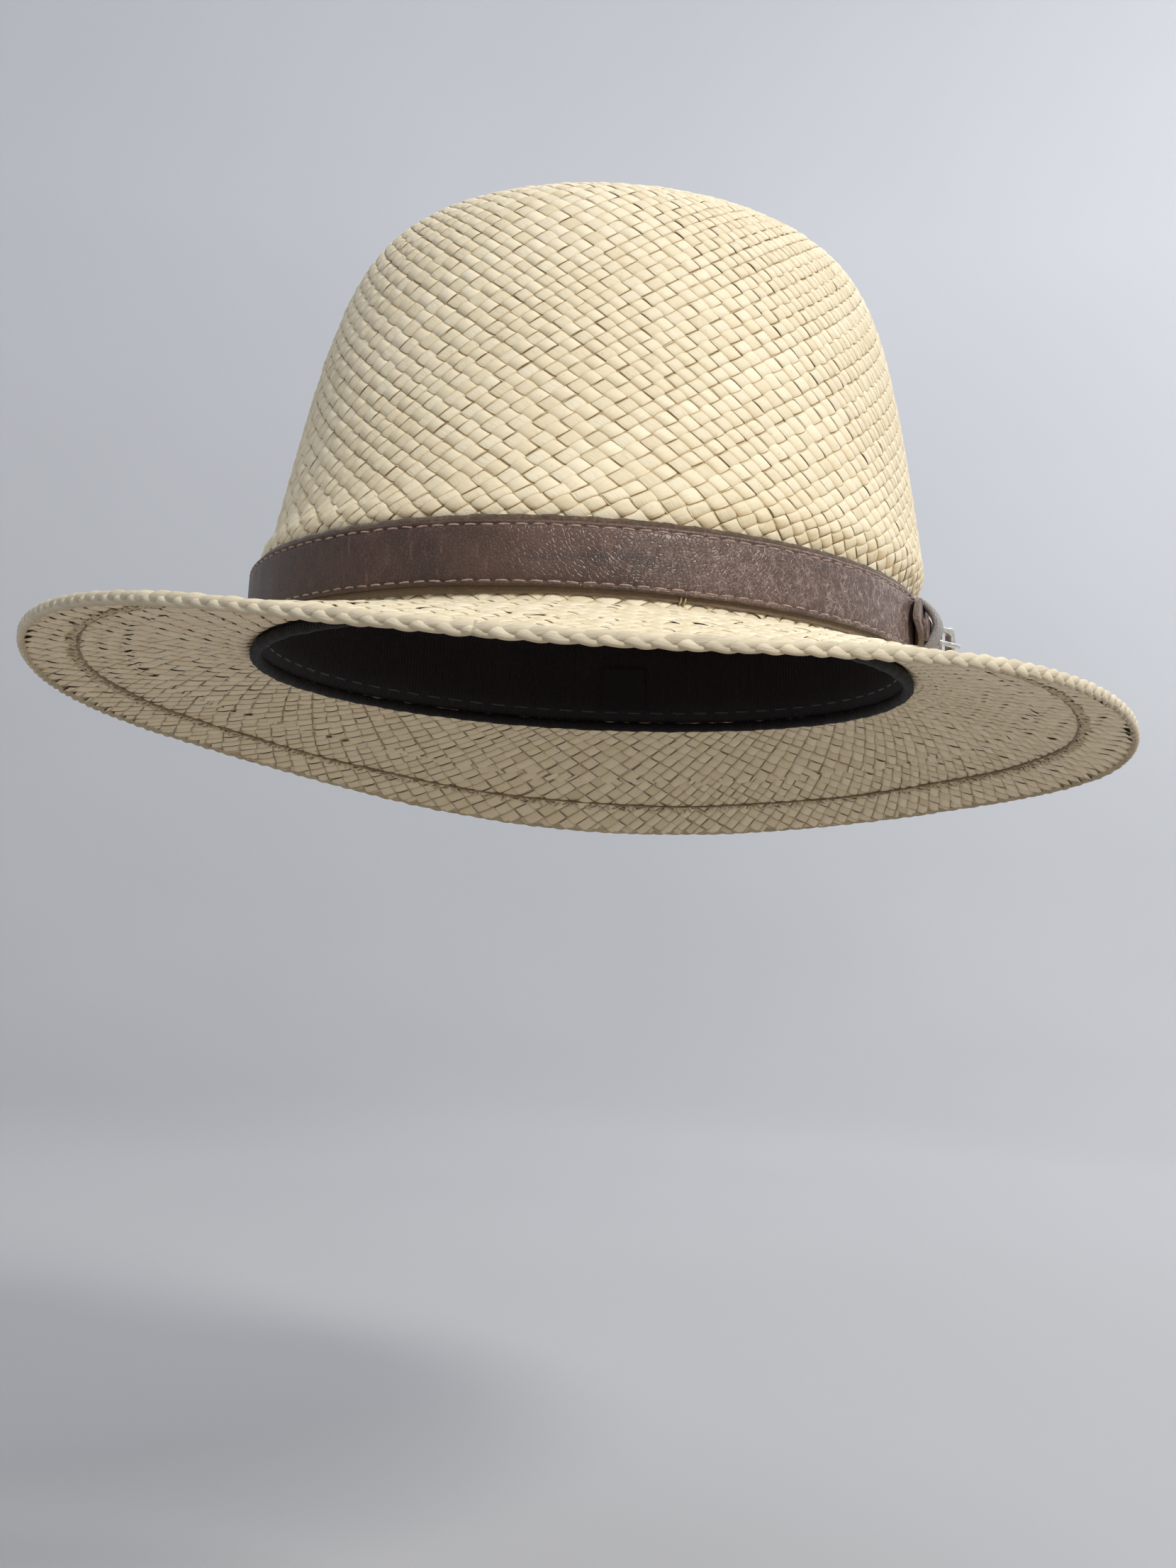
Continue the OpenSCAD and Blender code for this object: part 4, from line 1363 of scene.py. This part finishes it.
def reed_rod():
    angles = np.linspace(0, TAU, 240, endpoint=False)
    return tube("reed_core_rod", at_band(REED_OUT, angles, REED_Z), 0.8, 10)


def sweat_stitches():
    run = np.linspace(-1, 1, 9)
    arch = np.sqrt(np.maximum(0, 1 - run * run))
    out = np.interp(SWEAT_SEAM_Z, SWEAT_Z, SWEAT_OUT) - 1.0 - 0.10 * arch + 0.12
    radius = (0.24 * (0.75 + 0.25 * arch))[:, None]
    cos, sin = circle(7)
    parts = []
    for k in range(SWEAT_STITCHES):
        angle = (k + 0.5 + 0.48 * np.linspace(-0.62, 0.62, 9)) / SWEAT_STITCHES * TAU
        path = at_band(out, angle, SWEAT_SEAM_Z + 0.05 * run)
        parts.append(dict(verts=sweep(path, ellipse(1, 1, angle, 0), UP,
                                      radius * cos, radius * sin),
                          faces=tube_faces(9, 7)))
    return merge("sweatband_stitch_threads", parts)


def join_tape():
    """Tape over the sweatband's joint, at the back of the hat"""
    face = -2.85                            # inner face of the sweatband
    zs = np.array([2.2, 2.5, 3.5, 6, 9, 12, 14.5, 15.7, 16.0])

    def place(u, v, h):
        angle = math.pi - u / (HALF_WIDTH + face)
        z = v + 0.15 * np.sin(u * 3.1) * (np.abs(v - 9.1) > 6.5)
        return at_band(face - 0.08 - 0.55 * (1 - h) + 1.1 * foot_flare(v), angle, z)

    return plate("sweatband_join_tape", np.linspace(-7, 7, 40), zs,
                 lambda u, v: np.ones(u.shape, bool), place, bevel=0.15, segments=2)


sweat_cloth = sweatband()
reed_tape = reed_roll()
reed_core = reed_rod()
sweat_threads = sweat_stitches()
sweat_join = join_tape()


# ---------------------------------------------------------------- leather, cloth and metal
def leather_material(name, dark, base, worn, roughness, grain=1000.0, sided=True, creases=True):
    """sided leather turns paler, dry and crackled from the front towards the buckle side"""
    shader = Shader(name)
    pos = shader.position
    big = shader.noise(pos, 30, 4, 0.6)
    medium = shader.noise(pos, 160, 4, 0.62)
    fine = shader.noise(pos, 1500, 3, 0.6)
    cells = shader.mask(shader.cell_edges(pos, grain), 0.0, 0.16)
    colour = shader.ramp(big, [(0.30, dark), (0.52, base), (0.74, worn)])
    colour = shader.tint(colour, shader.mask(medium, 0.50, 0.80), 0.55, worn)
    if sided:
        side = shader.axis_range(pos, "X", -0.012, 0.085)
        colour = shader.tint(colour, side, 0.62, (0.155, 0.110, 0.098))
        smears = shader.noise(shader.scaled(pos, (16, 16, 150)), 1.0, 4, 0.65)
        colour = shader.tint(colour, shader.mask(smears, 0.58, 0.70), 0.55,
                             (0.030, 0.026, 0.034))
        # two sizes of wandering crackle: cell scale, line width, strength
        wander = shader.noise(pos, 260, output="Color")
        bent = shader.node("ShaderNodeVectorMath", {0: wander, 1: (0.0035,) * 3, 2: pos},
                           operation="MULTIPLY_ADD").outputs[0]
        lines = []
        for scale, width, strength in ((480, 0.085, 0.85), (980, 0.11, 0.6)):
            edges = shader.cell_edges(shader.scaled(bent, (1.0, 1.0, 0.62)), scale)
            lines.append(shader.times(shader.fade(edges, 0.0, width), strength))
        crackle = shader.math("MAXIMUM", *lines)
        dry = shader.axis_range(pos, "X", 0.014, 0.078)
        dry = shader.plus(shader.times(dry, 1.0), 0.06)
        gaps = shader.mask(shader.noise(pos, 420, 3, 0.6), 0.38, 0.60)
        colour = shader.tint(colour, shader.times(crackle, dry), gaps, (0.43, 0.335, 0.305))
    if creases:
        wrinkles = shader.noise(shader.scaled(pos, (620, 620, 130)), 1.0, 3, 0.7)
        colour = shader.tint(colour, shader.mask(wrinkles, 0.60, 0.68), 0.30,
                             brighter(worn, 1.9))
    shade = shader.mix(0.5, WHITE, cells, "MULTIPLY")
    colour = shader.mix(0.45, colour, shader.mix(1.0, colour, shade, "MULTIPLY"))
    height = shader.plus(shader.times(cells, 0.8),
                         shader.plus(shader.times(fine, 0.5), shader.times(medium, 1.3)))
    return shader.finish({"Base Color": colour,
                          "Roughness": shader.plus(shader.times(medium, 0.30),
                                                   roughness - 0.15),
                          "Specular IOR Level": 0.5}, height, bump=0.00012, strength=0.75)


def suede_material():
    """Suede, paler towards its lower edge"""
    shader = Shader("backing_suede")
    nap = shader.noise(shader.position, 900, 4, 0.65)
    patches = shader.noise(shader.position, 60, 3, 0.5)
    colour = shader.ramp(nap, [(0.30, (0.055, 0.032, 0.018)), (0.55, (0.12, 0.078, 0.046)),
                               (0.78, (0.23, 0.165, 0.105))])
    low = shader.axis_range(shader.position, "Z", 0.014, 0.006)
    colour = shader.tint(colour, low, 0.62, (0.235, 0.165, 0.098))
    colour = shader.tint(colour, patches, 0.4, (0.06, 0.035, 0.025))
    return shader.finish({"Base Color": colour, "Roughness": 0.9, "Sheen Weight": 0.35,
                          "Sheen Roughness": 0.5}, nap, bump=0.00025)


def thread_material(name, dark, light, roughness=0.6):
    shader = Shader(name)
    fibres = shader.noise(shader.position, 1400, 3, 0.6)
    patches = shader.noise(shader.position, 90, 2, 0.5)
    colour = shader.ramp(fibres, [(0.35, dark), (0.65, light)])
    colour = shader.tint(colour, patches, 0.5, brighter(dark, 0.55))
    return shader.finish({"Base Color": colour, "Roughness": roughness, "Sheen Weight": 0.2},
                         fibres, bump=0.00012, strength=0.8)


def cloth_material(name, dark, light):
    """Ribbed dark cloth"""
    shader = Shader(name)
    uv = shader.node("ShaderNodeUVMap", uv_map="StrawUV").outputs[0]
    fibres = shader.noise(shader.position, 1100, 3, 0.6)
    patches = shader.noise(shader.position, 45, 3, 0.55)
    colour = shader.ramp(fibres, [(0.3, dark), (0.7, light)])
    colour = shader.tint(colour, patches, 0.4, brighter(light, 1.9))
    ribs = shader.node("ShaderNodeTexWave", {"Vector": uv, "Scale": 24.0, "Distortion": 0.4},
                       bands_direction="X").outputs["Fac"]
    return shader.finish({"Base Color": colour, "Roughness": 0.72, "Specular IOR Level": 0.16,
                          "Sheen Weight": 0.02},
                         shader.plus(shader.times(ribs, 1.4), fibres),
                         bump=0.00016, strength=0.8)


def metal_material():
    """Tarnished metal with fine upright scratches"""
    shader = Shader("buckle_metal")
    tarnish = shader.noise(shader.position, 420, 4, 0.6)
    scratches = shader.noise(shader.scaled(shader.position, (2600, 2600, 240)), 1.0, 2, 0.5)
    colour = shader.ramp(tarnish, [(0.28, (0.42, 0.40, 0.36)), (0.5, (0.72, 0.71, 0.69)),
                                   (0.8, (0.86, 0.86, 0.85))])
    return shader.finish({"Base Color": colour, "Metallic": 0.85,
                          "Roughness": shader.plus(shader.times(tarnish, 0.35), 0.20)},
                         shader.plus(scratches, shader.times(tarnish, 0.6)),
                         bump=0.00004, strength=0.6)


leather = leather_material("band_leather", dark=(0.030, 0.015, 0.010),
                           base=(0.064, 0.031, 0.021), worn=(0.118, 0.068, 0.050),
                           roughness=0.40)
tab_leather = leather_material("tab_leather", dark=(0.085, 0.062, 0.055),
                               base=(0.15, 0.112, 0.098), worn=(0.24, 0.185, 0.165),
                               roughness=0.55, grain=900, sided=False)
keeper_leather = leather_material("keeper_leather", dark=(0.17, 0.16, 0.165),
                                  base=(0.25, 0.235, 0.24), worn=(0.33, 0.31, 0.315),
                                  roughness=0.45, grain=1300, sided=False, creases=False)
suede = suede_material()
thread = thread_material("band_thread", (0.25, 0.155, 0.130), (0.46, 0.325, 0.28))
tack_thread = thread_material("tack_thread", (0.36, 0.27, 0.15), (0.55, 0.44, 0.28))
dark_thread = thread_material("dark_thread", (0.010, 0.010, 0.013), (0.035, 0.035, 0.042))
fibre_brown = thread_material("suede_fibres", (0.16, 0.12, 0.07), (0.34, 0.27, 0.18), 0.8)
cloth = cloth_material("sweatband_cloth", (0.0048, 0.0034, 0.0030), (0.0115, 0.0085, 0.0080))
tape = cloth_material("reed_tape", (0.0040, 0.0030, 0.0028), (0.0095, 0.0072, 0.0070))
metal = metal_material()
plastic = mottled_material("reed_plastic", dark=(0.55, 0.57, 0.58), light=(0.68, 0.69, 0.70),
                           noise_scale=300, noise_roughness=0.5, roughness=0.35,
                           bump=0.00005, strength=0.5)

# piece, material, slot, what it replaces, and its body where that isn't the hat
for row in (
    (band_back, suede, "backing_leather", ["band_lining"]),
    (band_fibres, fibre_brown, "backing_leather"),
    (band_outer, leather, "band_leather", ["band_strap"]),
    (band_tongue, leather, "band_leather"),
    (stitches_top, thread, "band_thread", ["band_top_stitches"]),
    (stitches_bottom, thread, "band_thread", ["band_bottom_stitches"]),
    (tack_threads, tack_thread, "tack_thread", ["band_tacks"]),
    (chape, tab_leather, "backing_leather", ["buckle_chape"]),
    (chape_threads, thread, "band_thread", ["chape_stitches"]),
    (keeper_loop, keeper_leather, "keeper_leather", ["keeper_loop"]),
    (frame_metal, metal, "buckle_metal", ["buckle_frame"], "buckle"),
    (bar_metal, metal, "buckle_metal", ["buckle_bar"], "buckle"),
    (prong_metal, metal, "buckle_metal", ["buckle_prong"], "prong"),
    (sweat_cloth, cloth, "sweat_fabric", ["sweatband"]),
    (sweat_join, tape, "sweat_fabric", ["sweatband_join"]),
    (reed_tape, tape, "reed_tape", ["reed_tape"]),
    (reed_core, plastic, "reed_plastic", ["reed_core"]),
    (sweat_threads, dark_thread, "dark_thread", ["sweatband_stitches"]),
):
    dress(*row)


# ---------------------------------------------------------------- stage, light, camera
def stage_material():
    """Pale grey that brightens up the wall"""
    shader = Shader("stage_pale")
    clouds = shader.noise(shader.position, 1.2, 2, 0.5)
    height = shader.axis_range(shader.position, "Z", -0.25, 1.25)
    low = shader.ramp(clouds, [(0.3, (0.385, 0.394, 0.412)), (0.7, (0.415, 0.424, 0.442))])
    high = shader.ramp(clouds, [(0.3, (0.575, 0.592, 0.622)), (0.7, (0.605, 0.622, 0.652))])
    return shader.finish({"Base Color": shader.mix(height, low, high), "Roughness": 0.9})


def stage():
    """A round floor that curves up into a wall"""
    floor_z, flat, cove = -260, 1600, 1400
    profile = [(0.0, floor_z)] + [(x, floor_z) for x in np.linspace(300, flat, 8)]
    profile += [(flat + cove * math.sin(a), floor_z + cove * (1 - math.cos(a)))
                for a in np.linspace(0, math.pi / 2, 16)[1:]]
    profile += [(flat + cove, 1800), (flat + cove, 3200)]
    ob = lathe("stage_floor", profile, 96, closed_profile=False)
    ob.data.materials.append(stage_material())


# In metres and watts: name, place, target, size, power, colour
LIGHTS = [
    ("key", (1.02, -1.12, 1.08), (0, 0, 0.05), (0.40, 0.40), 29.0, (1.0, 0.955, 0.90)),
    ("fill", (-1.3, -1.2, 0.9), (0, 0, 0.03), (1.2, 1.2), 3.0, (0.98, 0.98, 1.0)),
    ("back", (0.2, 1.5, 1.3), (0, 0, 0.05), (1.4, 0.8), 6, WHITE),
    ("wash", (0.0, -0.4, 2.6), (0, 0.6, 0), (2.4, 2.4), 12, WHITE),
    ("wall", (1.3, 0.9, 1.7), (0.7, 2.9, 0.2), (0.8, 0.8), 40, WHITE),
    ("wall_front", (-0.9, -1.6, 1.9), (-0.9, -3.0, 0.7), (1.2, 1.2), 6, WHITE),
]


def lighting(scene):
    world = bpy.data.worlds.new("soft")
    scene.world = world
    world.use_nodes = True
    background = world.node_tree.nodes["Background"]
    background.inputs["Color"].default_value = (0.93, 0.95, 1.0, 1)
    background.inputs["Strength"].default_value = 0.42
    for name, place, target, size, power, colour in LIGHTS:
        light = bpy.data.lights.new(name, "AREA")
        light.shape = "RECTANGLE"
        light.size, light.size_y = size
        light.energy = power
        light.color = colour
        ob = bpy.data.objects.new(name, light)
        scene.collection.objects.link(ob)
        ob.location = place
        ob.rotation_mode = "QUATERNION"
        aim = Vector(target) - Vector(place)
        ob.rotation_quaternion = aim.to_track_quat("-Z", "Y")


# Axes and place of the camera, in metres; it looks along its -Z axis
CAMERA_RIGHT = (0.99201672, 0.11795848, 0.04459402)
CAMERA_UP = (-0.03411371, -0.08942076, 0.99540956)
CAMERA_BACK = (0.12140463, -0.98898419, -0.08468288)
CAMERA_PLACE = (0.06461, -0.50878, -0.07380)


def add_camera(scene):
    camera = bpy.data.cameras.new("camera")
    ob = bpy.data.objects.new("camera", camera)
    scene.collection.objects.link(ob)
    scene.camera = ob
    camera.sensor_fit = "AUTO"
    camera.sensor_width = 36
    camera.lens = 43.94213382
    camera.clip_start, camera.clip_end = 0.02, 20
    ob.matrix_world = Matrix(((*CAMERA_RIGHT, 0), (*CAMERA_UP, 0), (*CAMERA_BACK, 0),
                              (*CAMERA_PLACE, 1))).transposed()


stage()
bpy.context.scene.view_settings.view_transform = "Standard"
lighting(bpy.context.scene)
add_camera(bpy.context.scene)

bpy.context.view_layer.update()
